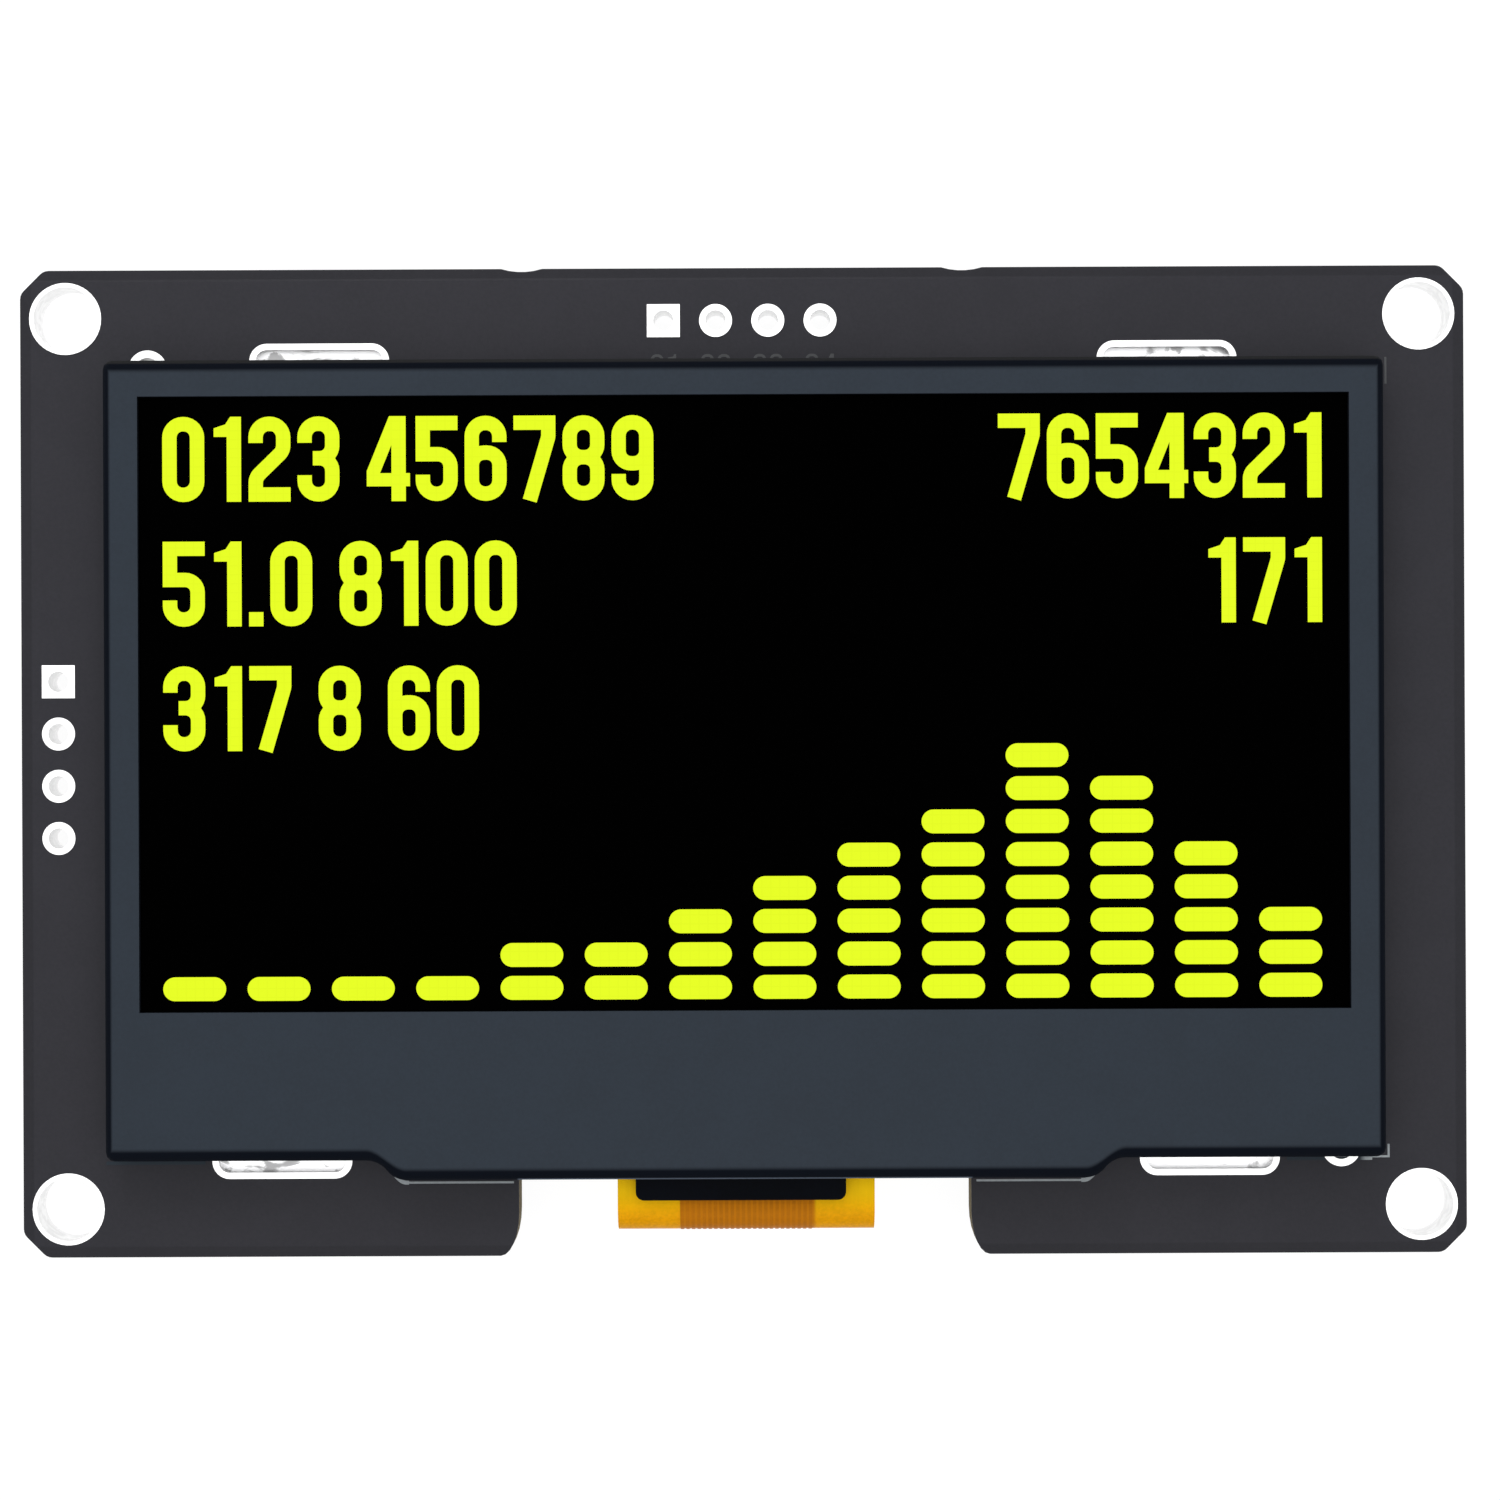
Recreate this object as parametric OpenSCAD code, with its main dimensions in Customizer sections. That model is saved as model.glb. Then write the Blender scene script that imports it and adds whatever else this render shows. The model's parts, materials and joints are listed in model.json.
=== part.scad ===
// Small OLED display module: a monochrome graphic panel in a stamped metal bezel, on a carrier board.
// Millimetres. The origin is the centre of the four mounting holes, on the board's back face,
// with +X to the right and +Y up as the display is read, and +Z towards the viewer.

/* [Board] */
// Width of the board
board_w = 70.2; // [68:0.1:84]
// Height of the board
board_h = 48; // [46.6:0.1:60]
// Thickness of the board
board_t = 1.6; // [1:0.1:2.4]
// Size of the cut across each board corner
corner_cut = 1.15; // [0.4:0.05:1.6]
// Radius that softens both ends of a corner cut
corner_soft_r = 0.6; // [0.1:0.05:0.8]
// Width of the notch that the flex folds through
notch_w = 22; // [15:0.1:26]
// How far the notch runs in under the bezel's tongue
notch_under = 2.45; // [1.5:0.05:3]
// Width of the rounding at the notch's mouth
notch_round_w = 0.9; // [0.3:0.05:2]
// Height of the rounding at the notch's mouth
notch_round_h = 2.1; // [0.5:0.05:2.5]
// Thickness of the tinned copper on lands and in plated holes
plating_t = 0.05; // [0.03:0.01:0.1]

/* [Mounting holes] */
// Distance of each hole's centre from the board's left or right edge
hole_inset = 2.2; // [2.1:0.05:2.8]
// Distance of each hole's centre from the board's top or foot edge
hole_inset_y = 2.35; // [2.1:0.05:2.8]
// Diameter of the plated hole
hole_d = 3.1; // [2.2:0.05:3.2]
// Width of the tinned ring round each hole
hole_ring_w = 0.2; // [0.1:0.05:0.4]

/* [Header pads] */
// Distance between neighbouring pads
pad_pitch = 2.54; // [2:0.01:2.6]
// Number of pads in each row
pad_count = 4; // [2:1:6]
// Diameter of a pad, and the side of the square first pad
pad_d = 1.6; // [1.4:0.05:1.8]
// Diameter of a pad's plated hole
pad_hole_d = 1; // [0.7:0.05:1.1]
// Distance of the top row from the board's top edge
top_row_inset = 2.55; // [2:0.05:2.8]
// Distance of the left row from the board's left edge
left_row_inset = 1.8; // [1.5:0.05:2.4]
// Height of the left row's middle above the holes' centre
left_row_y = 0.2; // [-4:0.1:4]

/* [Display panel] */
// Width of the front glass
glass_w = 60.5; // [58:0.1:61]
// Height of the front glass
glass_h = 37; // [36:0.1:37.2]
// Thickness of the front glass
glass_t = 0.95; // [0.7:0.05:1.2]
// Height of the strip at the foot of the front glass that the rear glass leaves free
ledge_h = 4.4; // [3.6:0.1:5]
// Thickness of the rear glass
cap_t = 0.8; // [0.6:0.05:1.1]
// Inset of the rear glass from the front glass's other three edges
cap_inset = 0.4; // [0.2:0.1:1]
// Depth of the hollow in the rear glass
cap_hollow = 0.3; // [0.2:0.05:0.4]
// Width of the seal between the two glasses
seal_w = 1.2; // [0.8:0.1:1.6]
// Thickness of the seal
seal_t = 0.05; // [0.04:0.01:0.1]
// Thickness of the drying sheet in the hollow
desiccant_t = 0.15; // [0.1:0.01:0.18]
// Thickness of the light-emitting film
organic_t = 0.03; // [0.02:0.01:0.04]
// Thickness of the polarizer
polarizer_t = 0.2; // [0.1:0.05:0.3]
// Thickness of the tape between the panel and the board
tape_t = 0.2; // [0.1:0.05:0.4]
// Inset of the tape from the rear glass's edges
tape_inset = 2; // [1:0.5:6]

/* [Bezel] */
// Thickness of the sheet metal
sheet_t = 0.3; // [0.2:0.05:0.35]
// Radius inside the bend between the face and the walls
bend_inner_r = 0.05; // [0.02:0.01:0.1]
// Gap between the glass and the walls at the sides
glass_gap = 0.05; // [0.05:0.01:0.2]
// Gap between the glass and the wall at the top
head_gap = 0.2; // [0.05:0.05:0.3]
// Gap between the glass and the wall at the foot
foot_gap = 0.5; // [0.3:0.05:0.6]
// Shift of the panel and bezel to the right of the holes' centre
panel_x = 0.05; // [-0.5:0.05:0.5]
// Height of the bezel's middle above the holes' centre
panel_y = 0.15; // [-0.4:0.05:0.4]
// Distance from the glass's side edges in to the window
window_side = 1.35; // [1:0.05:3]
// Distance from the glass's top edge down to the window
window_drop = 1.27; // [1:0.01:1.6]
// Distance from the glass's foot up to the window
window_rise = 6.33; // [5.6:0.01:7.4]
// How far the polarizer reaches under the bezel's face round the window
polarizer_lap = 0.5; // [0.2:0.1:0.8]
// Distance from the bezel's sides in to the tongue's straight edge
tongue_inset = 14.4; // [13:0.1:15.6]
// How far the tongue stands out below the bezel's foot
tongue_drop = 0.95; // [0.6:0.05:1.1]
// Width of the double curve on each side of the tongue
shoulder_w = 1.95; // [1.5:0.05:2.4]
// Height of the wall left above the flex
flex_lip = 0.6; // [0.5:0.05:0.65]
// Width of the slit in the walls at each corner
corner_slit = 0.25; // [0.1:0.05:0.3]

/* [Bezel lugs] */
// Width of each soldered lug
lug_w = 5; // [3:0.1:5.6]
// How far a lug stands out behind the board
lug_out = 0.6; // [0.4:0.05:1]
// Distance from the bezel's sides in to the middle of the top lugs
top_lug_inset = 10; // [6:0.1:18]
// Distance from the bezel's sides in to the middle of the foot lugs
foot_lug_inset = 8.05; // [6.6:0.05:8.6]
// Width of a lug's slot in the board
slot_w = 6.2; // [6:0.1:6.6]
// Height of a lug's slot in the board
slot_h = 2; // [1.4:0.1:2.2]
// Corner radius of a slot
slot_r = 0.55; // [0.3:0.05:0.65]
// Width of the tinned land round a slot
slot_land_w = 0.3; // [0.2:0.05:0.4]
// Width of a locating tab
tab_w = 0.8; // [0.5:0.05:0.9]
// Distance from the bezel's sides in to the middle of the locating tabs
tab_inset = 1.65; // [1.4:0.05:2.6]
// Diameter of a locating tab's plated hole
tab_hole_d = 1.2; // [1.05:0.05:1.3]
// Width of the tinned ring round a locating hole
tab_ring_w = 0.35; // [0.2:0.05:0.4]

/* [Flex and driver] */
// Width of the film
film_w = 12.4; // [12.1:0.1:13.5]
// Thickness of the film
film_t = 0.12; // [0.08:0.01:0.16]
// Length of film bonded to the glass ledge
film_bond = 2; // [1.2:0.1:2.6]
// How far the fold stands out below the tongue
fold_reach = 2.8; // [2.6:0.05:3.4]
// Length of film lying on the board's back
film_back = 4; // [3.6:0.1:5]
// Width of the driver's resin block
resin_w = 10.1; // [9:0.1:11]
// Length of the resin block, along the film
resin_l = 2.65; // [2:0.05:2.8]
// Height of the resin block
resin_t = 0.65; // [0.5:0.05:0.7]
// Shift of the resin block to the left of the film's middle
resin_shift = 0.25; // [0:0.05:0.4]
// Length of the driver die
die_l = 7.6; // [6:0.1:8.5]
// Width of the driver die
die_w = 0.9; // [0.6:0.1:1.2]
// Height of the driver die
die_t = 0.4; // [0.3:0.05:0.45]
// Thickness of the copper traces
trace_t = 0.03; // [0.02:0.01:0.05]
// Number of traces and contacts
contact_count = 24; // [16:1:24]
// Distance from the film's edges in to the middle of the outermost contacts
contact_inset = 0.45; // [0.3:0.05:0.6]
// Distance between neighbouring traces where they run round the fold
trace_pitch = 0.27; // [0.2:0.005:0.3]
// Length of each contact finger
finger_l = 2.6; // [2:0.1:3]
// How far the board's lands run on past the end of the film
land_past = 0.8; // [0.5:0.1:1.2]

/* [Lit segments] */
// Width of one lit segment
segment_w = 3; // [2:0.05:3.4]
// Height of one lit segment
segment_h = 1.14; // [0.8:0.02:1.3]
// Distance from the window's sides in to the outermost segments
segment_inset = 1.205; // [0.8:0.005:4]
// Shift of all segments to the left of the window's middle
segment_shift = 0.12; // [0:0.01:0.3]
// Distance between neighbouring rows
row_pitch = 1.575; // [1.4:0.005:1.7]
// Height of the lowest row's middle above the window's foot
row_rise = 1.1; // [0.8:0.05:1.6]
// Thickness at which a lit segment is drawn on the polarizer
segment_t = 0.04; // [0.02:0.01:0.08]

/* [Parts on the back] */
// Length of a chip capacitor
capacitor_l = 2; // [1.6:0.1:2.2]
// Width of a chip capacitor
capacitor_w = 1.25; // [0.8:0.05:1.3]
// Height of a chip capacitor
capacitor_t = 0.9; // [0.6:0.05:1.2]
// Length of a chip resistor
resistor_l = 1.6; // [1.4:0.1:1.8]
// Width of a chip resistor
resistor_w = 0.8; // [0.6:0.05:0.9]
// Height of a chip resistor
resistor_t = 0.45; // [0.35:0.05:0.55]
// Width across the inductor's round ends
inductor_d = 4.5; // [4:0.1:4.8]
// Height of the inductor
inductor_t = 2.2; // [1.9:0.1:2.6]
// Thickness of the winding's wire
wire_d = 0.25; // [0.2:0.01:0.3]

/* [Hidden] */
$fn = 48;
SHAPE_MARGIN = 1;                  // how far a cutting shape runs past what it cuts
CORNER_STEPS = 3;                  // flats round a bezel corner
SHOULDER_STEPS = 6;                // flats along each arc beside the tongue
BEND_STEPS = 5;                    // flats round the outside of the bend

// Heights of the stack, from the board's back face up
tape_z = board_t;
cap_z = tape_z + tape_t;
seal_z = cap_z + cap_t;
glass_z = seal_z + seal_t;
polarizer_z = glass_z + glass_t;
face_z = polarizer_z + polarizer_t;
bezel_top_z = face_z + sheet_t;
wall_z = board_t + plating_t;      // the walls stand on the tinned lands

// Bezel outline, from the glass and its gaps
bend_r = sheet_t + bend_inner_r;
bezel_corner_r = sheet_t + 3 * glass_gap;   // rounder inner corners would touch the glass's corners
bezel_w = glass_w + 2 * (glass_gap + sheet_t);
bezel_h = glass_h + head_gap + foot_gap + 2 * sheet_t;
bezel_head_y = panel_y + bezel_h / 2;
bezel_foot_y = panel_y - bezel_h / 2;
tongue_w = bezel_w - 2 * tongue_inset;
tongue_y = bezel_foot_y - tongue_drop;
shoulder_x = tongue_w / 2 + shoulder_w;
shoulder_r = (shoulder_w * shoulder_w + tongue_drop * tongue_drop) / (4 * tongue_drop);
shoulder_angle = asin(shoulder_w / (2 * shoulder_r));

// Glass, window and polarizer
glass_head_y = bezel_head_y - sheet_t - head_gap;
glass_foot_y = glass_head_y - glass_h;
cap_foot_y = glass_foot_y + ledge_h;
window_w = glass_w - 2 * window_side;
window_h = glass_h - window_drop - window_rise;
window_y = glass_head_y - window_drop - window_h / 2;
cap_w = glass_w - 2 * cap_inset;
cap_h = glass_h - cap_inset - ledge_h;
cap_y = cap_foot_y + cap_h / 2;
hollow_w = cap_w - 2 * seal_w;
hollow_h = cap_h - 2 * seal_w;
hollow_margin = 0.4;               // what lies in the hollow stays this far from its walls
sheet_w = hollow_w - 2 * hollow_margin;
sheet_h = hollow_h - 2 * hollow_margin;

// Lugs, tabs and the holes they go through
top_lug_x = bezel_w / 2 - top_lug_inset;
foot_lug_x = bezel_w / 2 - foot_lug_inset;
tab_x = bezel_w / 2 - tab_inset;
top_wall_y = bezel_head_y - sheet_t / 2;
foot_wall_y = bezel_foot_y + sheet_t / 2;
slot_drop = 0.05;                  // each slot sits a little below the wall's middle
lug_taper = 0.4;
solder_recess = 0.35;              // the solder stops short of the board's front face
solder_rise = 0.45;
slots = [
    [panel_x - top_lug_x, top_wall_y],
    [panel_x + top_lug_x, top_wall_y],
    [panel_x - foot_lug_x, foot_wall_y],
    [panel_x + foot_lug_x, foot_wall_y],
];
tabs = [
    [panel_x - tab_x, top_wall_y],
    [panel_x + tab_x, foot_wall_y],
];
tab_out = 0.2;

// Board
hole_x = board_w / 2 - hole_inset;
hole_y = board_h / 2 - hole_inset_y;
notch_end_y = tongue_y + notch_under;
notch_end_r = 0.5;
nick_x = 10.7;                     // where the board was snapped out of its panel
nick_w = 2;
nick_depth = 0.15;
nick_r = (nick_w * nick_w / 4 + nick_depth * nick_depth) / (2 * nick_depth);
top_row_y = board_h / 2 - top_row_inset;
left_row_x = -board_w / 2 + left_row_inset;

// Film
film_top_z = glass_z;
film_under_z = -plating_t - film_t;
fold_r = (film_top_z - film_under_z) / 2;
fold_y = tongue_y - fold_reach + fold_r;
fold_z = (film_top_z + film_under_z) / 2;
film_end_y = notch_end_y + film_back;
resin_gap = 0.2;                   // between the glass edge and the resin
resin_y = glass_foot_y - resin_gap - resin_l / 2;
resin_r = 0.4;
contact_pitch = (film_w - 2 * contact_inset) / (contact_count - 1);
trace_w_share = 0.6;               // of the distance between traces
finger_w_share = 0.6;              // of the distance between contacts
contact_margin = 0.16;             // bare end of each land past its solder
fan_start_y = fold_y + 0.3;        // where the traces begin to spread after the fold
fan_y = notch_end_y - 0.4;         // where they have spread to the contacts' distance

// Inductor
flange_t = 0.55;
flange_cut = 0.25;                 // how deep each flat cuts into the round flanges
hub_d = 1.9;
winding_inset = 0.4;               // from the flanges' edge in to the wire
clip_t = 0.1;
clip_w = 1.4;
clip_l = 1.1;

// Small parts: where each stands and how it is turned
inductor_place = [-17, -3, 0];
converter_place = [-10.6, -2.6, 90];
regulator_place = [15.5, 7.5, 0];
diode_place = [-16.6, 3, 0];
capacitor_places = [
    [-22, -3, 90], [-10.4, 3, 0], [-6.2, -2.6, 90], [9.4, -9.6, 90],
    [12.4, -9.6, 90], [11, 7.5, 90], [20, 7.5, 90], [-9.8, -9.6, 90],
];
resistor_places = [
    [-6.6, -9.4, 90], [-4.4, -9.4, 90], [-2.2, -9.4, 90], [0, -9.4, 90], [2.2, -9.4, 90],
    [4.4, -9.4, 90], [-27.6, 1.5, 0], [-27.6, -1.1, 0], [18.4, -1.4, 0], [18.4, 0.8, 0],
    [-11.6, -6.4, 0],
];
resistor_end = 0.3;
resistor_coat_t = 0.05;
capacitor_end = 0.4;
lead_t = 0.15;
land_side = 0.1;                   // how far a land shows beside and beyond a terminal
land_toe = 0.35;
land_heel = 0.15;
solder_toe = 0.28;                 // how far a wedge of solder runs out on its land
chip_wetting = 0.7;                // share of a chip part's height that the solder climbs
standoff = 0.1;
body_draft = 0.08;

// Six-lead package of the boost converter
converter = [2.9, 1.6, 1.1];
converter_span = 2.8;
// Three-lead package of the regulator
regulator = [2.9, 1.3, 1];
regulator_span = 2.4;
package_pitch = 0.95;
package_lead_w = 0.4;
package_foot = 0.35;
// Two-lead package of the diode
diode = [2.7, 1.6, 1.1];
diode_span = 3.7;
diode_lead_w = 0.65;
diode_foot = 0.35;

// Number of lit segments in each column, left to right
segment_counts = [1, 1, 1, 1, 2, 2, 3, 4, 5, 6, 8, 7, 5, 3];

// ---- Shared shapes ----

// Points along an arc, or along an ellipse where the radii differ
function arc_points(centre, rx, ry, from, to, steps = 6) = [
    for (i = [0 : steps])
        let (a = from + (to - from) * i / steps)
        [centre[0] + rx * cos(a), centre[1] + ry * sin(a)]
];

// One board corner: a 45 degree cut whose two ends are softened. quadrant 0 is top right, then anticlockwise.
function cut_corner_points(quadrant) =
    let (
        turn = quadrant * 90,
        reach = corner_soft_r * tan(22.5),
        w = (quadrant % 2 == 0 ? board_w : board_h) / 2,
        h = (quadrant % 2 == 0 ? board_h : board_w) / 2,
        first = [w - corner_soft_r, h - corner_cut - reach],
        last = [w - corner_cut - reach, h - corner_soft_r],
        local = concat(
            arc_points(first, corner_soft_r, corner_soft_r, 0, 45, 3),
            arc_points(last, corner_soft_r, corner_soft_r, 45, 90, 3)
        )
    )
    [for (p = local) [p[0] * cos(turn) - p[1] * sin(turn), p[0] * sin(turn) + p[1] * cos(turn)]];

// The same arc without its first point, which the arc before it ends on
function arc_rest(centre, r, from, to, steps) =
    let (points = arc_points(centre, r, r, from, to, steps))
    [for (i = [1 : steps]) points[i]];

module rounded_rect(w, h, r) {
    union() {
        square([w, h - 2 * r], center = true);
        square([w - 2 * r, h], center = true);
        for (x = [-1, 1], y = [-1, 1])
            translate([x * (w / 2 - r), y * (h / 2 - r)])
                circle(r = r);
    }
}

// A block whose four sides lean in, from size a at z = 0 to size b at z = h
module frustum(a, b, h) {
    reach = 2 * max(a[0], a[1], b[0], b[1]);
    intersection() {
        rotate([90, 0, 0])
            linear_extrude(reach, center = true)
                polygon([[-a[0] / 2, 0], [a[0] / 2, 0], [b[0] / 2, h], [-b[0] / 2, h]]);
        rotate([90, 0, 90])
            linear_extrude(reach, center = true)
                polygon([[-a[1] / 2, 0], [a[1] / 2, 0], [b[1] / 2, h], [-b[1] / 2, h]]);
    }
}

// Stands a part on the lands of the board's back, with its own +Z pointing away from the board
module on_back(place) {
    translate([place[0], place[1], -plating_t])
        rotate([180, 0, place[2]])
            children();
}

// ---- Board ----

// The board's outline with the notch in its foot
module board_outline() {
    half_notch = notch_w / 2;
    foot_y = -board_h / 2;
    notch_points = concat(
        arc_points(
            [-half_notch - notch_round_w, foot_y + notch_round_h],
            notch_round_w, notch_round_h, -90, 0
        ),
        arc_points([-half_notch + notch_end_r, notch_end_y - notch_end_r], notch_end_r, notch_end_r, 180, 90),
        arc_points([half_notch - notch_end_r, notch_end_y - notch_end_r], notch_end_r, notch_end_r, 90, 0),
        arc_points(
            [half_notch + notch_round_w, foot_y + notch_round_h],
            notch_round_w, notch_round_h, 180, 270
        )
    );
    polygon(concat(
        cut_corner_points(0),
        cut_corner_points(1),
        cut_corner_points(2),
        notch_points,
        cut_corner_points(3)
    ));
}

// Where each pad of a row stands, from the first, square pad at the row's left or upper end
function pad_offset(i) = (i - (pad_count - 1) / 2) * pad_pitch;

top_pads = [for (i = [0 : pad_count - 1]) [pad_offset(i), top_row_y, 0]];
left_pads = [for (i = [0 : pad_count - 1]) [left_row_x, left_row_y - pad_offset(i), 0]];

module through_board(d) {
    translate([0, 0, -SHAPE_MARGIN])
        cylinder(d = d, h = board_t + 2 * SHAPE_MARGIN);
}

module printed_circuit_board() {
    color([0.2, 0.2, 0.22])
        difference() {
            linear_extrude(board_t)
                board_outline();
            for (x = [-1, 1], y = [-1, 1])
                translate([x * hole_x, y * hole_y, 0])
                    through_board(hole_d + 2 * plating_t);
            for (pad = concat(top_pads, left_pads))
                translate(pad)
                    through_board(pad_hole_d + 2 * plating_t);
            for (s = slots)
                translate([s[0], s[1] - slot_drop, -SHAPE_MARGIN])
                    linear_extrude(board_t + 2 * SHAPE_MARGIN)
                        rounded_rect(slot_w + 2 * plating_t, slot_h + 2 * plating_t, slot_r + plating_t);
            for (t = tabs)
                translate([t[0], t[1], 0])
                    through_board(tab_hole_d + 2 * plating_t);
            for (x = [-1, 1])
                translate([x * nick_x, board_h / 2 - nick_depth + nick_r, -SHAPE_MARGIN])
                    cylinder(r = nick_r, h = board_t + 2 * SHAPE_MARGIN, $fn = 96);
        }
}

// A plated hole: a barrel through the board with a flat ring on each face
module plated_hole(bore, ring_w) {
    rotate_extrude()
        union() {
            translate([bore / 2, -plating_t])
                square([plating_t, board_t + 2 * plating_t]);
            for (z = [-plating_t, board_t])
                translate([bore / 2, z])
                    square([ring_w, plating_t]);
        }
}

// The first pad of a row: square lands on a round barrel
module square_plated_hole(bore, side) {
    difference() {
        union() {
            for (z = [-plating_t, board_t])
                translate([-side / 2, -side / 2, z])
                    cube([side, side, plating_t]);
            cylinder(d = bore + 2 * plating_t, h = board_t);
        }
        through_board(bore);
    }
}

module mounting_hole_rings() {
    color([0.86, 0.87, 0.88])
        for (x = [-1, 1], y = [-1, 1])
            translate([x * hole_x, y * hole_y, 0])
                plated_hole(hole_d, hole_ring_w);
}

module pad_row(places) {
    for (i = [0 : len(places) - 1])
        translate(places[i])
            if (i == 0)
                square_plated_hole(pad_hole_d, pad_d);
            else
                plated_hole(pad_hole_d, (pad_d - pad_hole_d) / 2);
}

module header_pads_top() {
    color([0.86, 0.87, 0.88])
        pad_row(top_pads);
}

module header_pads_left() {
    color([0.86, 0.87, 0.88])
        pad_row(left_pads);
}

module frame_slot_lands() {
    color([0.86, 0.87, 0.88])
        for (s = slots)
            translate([s[0], s[1] - slot_drop, 0])
                union() {
                    translate([0, 0, -plating_t])
                        linear_extrude(board_t + 2 * plating_t)
                            difference() {
                                rounded_rect(
                                    slot_w + 2 * plating_t, slot_h + 2 * plating_t, slot_r + plating_t
                                );
                                rounded_rect(slot_w, slot_h, slot_r);
                            }
                    for (z = [-plating_t, board_t])
                        translate([0, 0, z])
                            linear_extrude(plating_t)
                                difference() {
                                    rounded_rect(
                                        slot_w + 2 * slot_land_w,
                                        slot_h + 2 * slot_land_w,
                                        slot_r + slot_land_w
                                    );
                                    rounded_rect(slot_w, slot_h, slot_r);
                                }
                }
}

module locating_hole_lands() {
    color([0.86, 0.87, 0.88])
        for (t = tabs)
            translate([t[0], t[1], 0])
                plated_hole(tab_hole_d, tab_ring_w);
}

// ---- Bezel ----

// The bezel's outline, anticlockwise, drawn inset from its outer edge. Each side of the tongue is a
// double curve of two equal arcs: one turns out of the foot, and the next into the tongue's edge.
function bezel_points(inset) =
    let (
        r = bezel_corner_r - inset,
        x = bezel_w / 2 - bezel_corner_r,
        y = bezel_h / 2 - bezel_corner_r,
        foot = -bezel_h / 2,
        half = tongue_w / 2,
        low = foot - tongue_drop + shoulder_r,
        inner_r = shoulder_r - inset,
        outer_r = shoulder_r + inset,
        turn = shoulder_angle,
        local = concat(
            arc_points([x, -y], r, r, -90, 0, CORNER_STEPS),
            arc_points([x, y], r, r, 0, 90, CORNER_STEPS),
            arc_points([-x, y], r, r, 90, 180, CORNER_STEPS),
            arc_points([-x, -y], r, r, 180, 270, CORNER_STEPS),
            arc_points([-shoulder_x, foot - shoulder_r], outer_r, outer_r, 90, 90 - turn, SHOULDER_STEPS),
            arc_rest([-half, low], inner_r, -90 - turn, -90, SHOULDER_STEPS),
            arc_points([half, low], inner_r, inner_r, -90, -90 + turn, SHOULDER_STEPS),
            arc_rest([shoulder_x, foot - shoulder_r], outer_r, 90 + turn, 90, SHOULDER_STEPS)
        )
    )
    [for (p = local) [p[0] + panel_x, p[1] + panel_y]];

// The wall's section with the bend at its top, as [inset, height], from its outer foot to its inner foot
function wall_section() =
    let (centre_z = bezel_top_z - bend_r)
    concat(
        [[0, wall_z]],
        [for (i = [0 : BEND_STEPS]) let (a = 90 * i / BEND_STEPS)
            [bend_r - bend_r * cos(a), centre_z + bend_r * sin(a)]],
        [for (i = [0 : 2]) let (a = 90 - 45 * i)
            [bend_r - bend_inner_r * cos(a), centre_z + bend_inner_r * sin(a)]],
        [[sheet_t, wall_z]]
    );

// The walls and their bend, swept round the outline
module bezel_shell() {
    section = wall_section();
    rings = [for (s = section) [for (p = bezel_points(s[0])) [p[0], p[1], s[1]]]];
    around = len(rings[0]);
    across = len(rings);
    polyhedron(
        points = [for (ring = rings) each ring],
        faces = [
            for (k = [0 : across - 1])
                for (i = [0 : around - 1])
                    let (k2 = (k + 1) % across, i2 = (i + 1) % around)
                    [k * around + i, k2 * around + i, k2 * around + i2, k * around + i2]
        ],
        convexity = 6
    );
}

module bezel_walls() {
    slit_h = bezel_top_z - bend_r - wall_z - bend_inner_r;
    way_out_h = bezel_top_z - flex_lip - wall_z;
    difference() {
        bezel_shell();
        // the way out for the flex, over the board's notch
        translate([panel_x - notch_w / 2, tongue_y - SHAPE_MARGIN, wall_z - SHAPE_MARGIN])
            cube([notch_w, 2 * SHAPE_MARGIN + sheet_t, way_out_h + SHAPE_MARGIN]);
        // the corners are slit up to the bend, because the walls are folded down one by one
        for (x = [-1, 1], y = [-1, 1])
            translate([panel_x + x * bezel_w / 2, panel_y + y * bezel_h / 2, wall_z - SHAPE_MARGIN])
                rotate([0, 0, x * y * 45])
                    translate([-SHAPE_MARGIN, -corner_slit / 2, 0])
                        cube([2 * SHAPE_MARGIN, corner_slit, slit_h + SHAPE_MARGIN]);
    }
}

// A flat tab in line with a wall, from inside the wall down through the board, with a narrower tip
module wall_tab(w, out, taper) {
    top = wall_z + SHAPE_MARGIN;
    rotate([90, 0, 0])
        linear_extrude(sheet_t, center = true)
            polygon([
                [-w / 2, top], [-w / 2, 0], [-w / 2 + taper, -out],
                [w / 2 - taper, -out], [w / 2, 0], [w / 2, top]
            ]);
}

module display_bezel() {
    color([0.21, 0.24, 0.27])
        union() {
            translate([0, 0, face_z])
                linear_extrude(sheet_t)
                    difference() {
                        polygon(bezel_points(bend_r));
                        translate([panel_x, window_y])
                            square([window_w, window_h], center = true);
                    }
            bezel_walls();
            for (s = slots)
                translate([s[0], s[1], 0])
                    wall_tab(lug_w, lug_out, lug_taper);
            for (t = tabs)
                translate([t[0], t[1], 0])
                    wall_tab(tab_w, tab_out, 0);
        }
}

// Solder that fills each slot round its lug and stands as a low mound on the back land
module lug_solder() {
    color([0.72, 0.74, 0.76])
        for (s = slots)
            difference() {
                translate([s[0], s[1] - slot_drop, 0])
                    union() {
                        translate([0, 0, -plating_t])
                            linear_extrude(board_t - solder_recess + plating_t)
                                rounded_rect(slot_w, slot_h, slot_r);
                        translate([0, 0, -plating_t])
                            rotate([180, 0, 0])
                                frustum(
                                    [slot_w + slot_land_w, slot_h + slot_land_w],
                                    [lug_w, slot_h / 2],
                                    solder_rise
                                );
                    }
                translate([s[0], s[1], 0])
                    wall_tab(lug_w, lug_out, lug_taper);
            }
}

// ---- Panel ----

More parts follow.
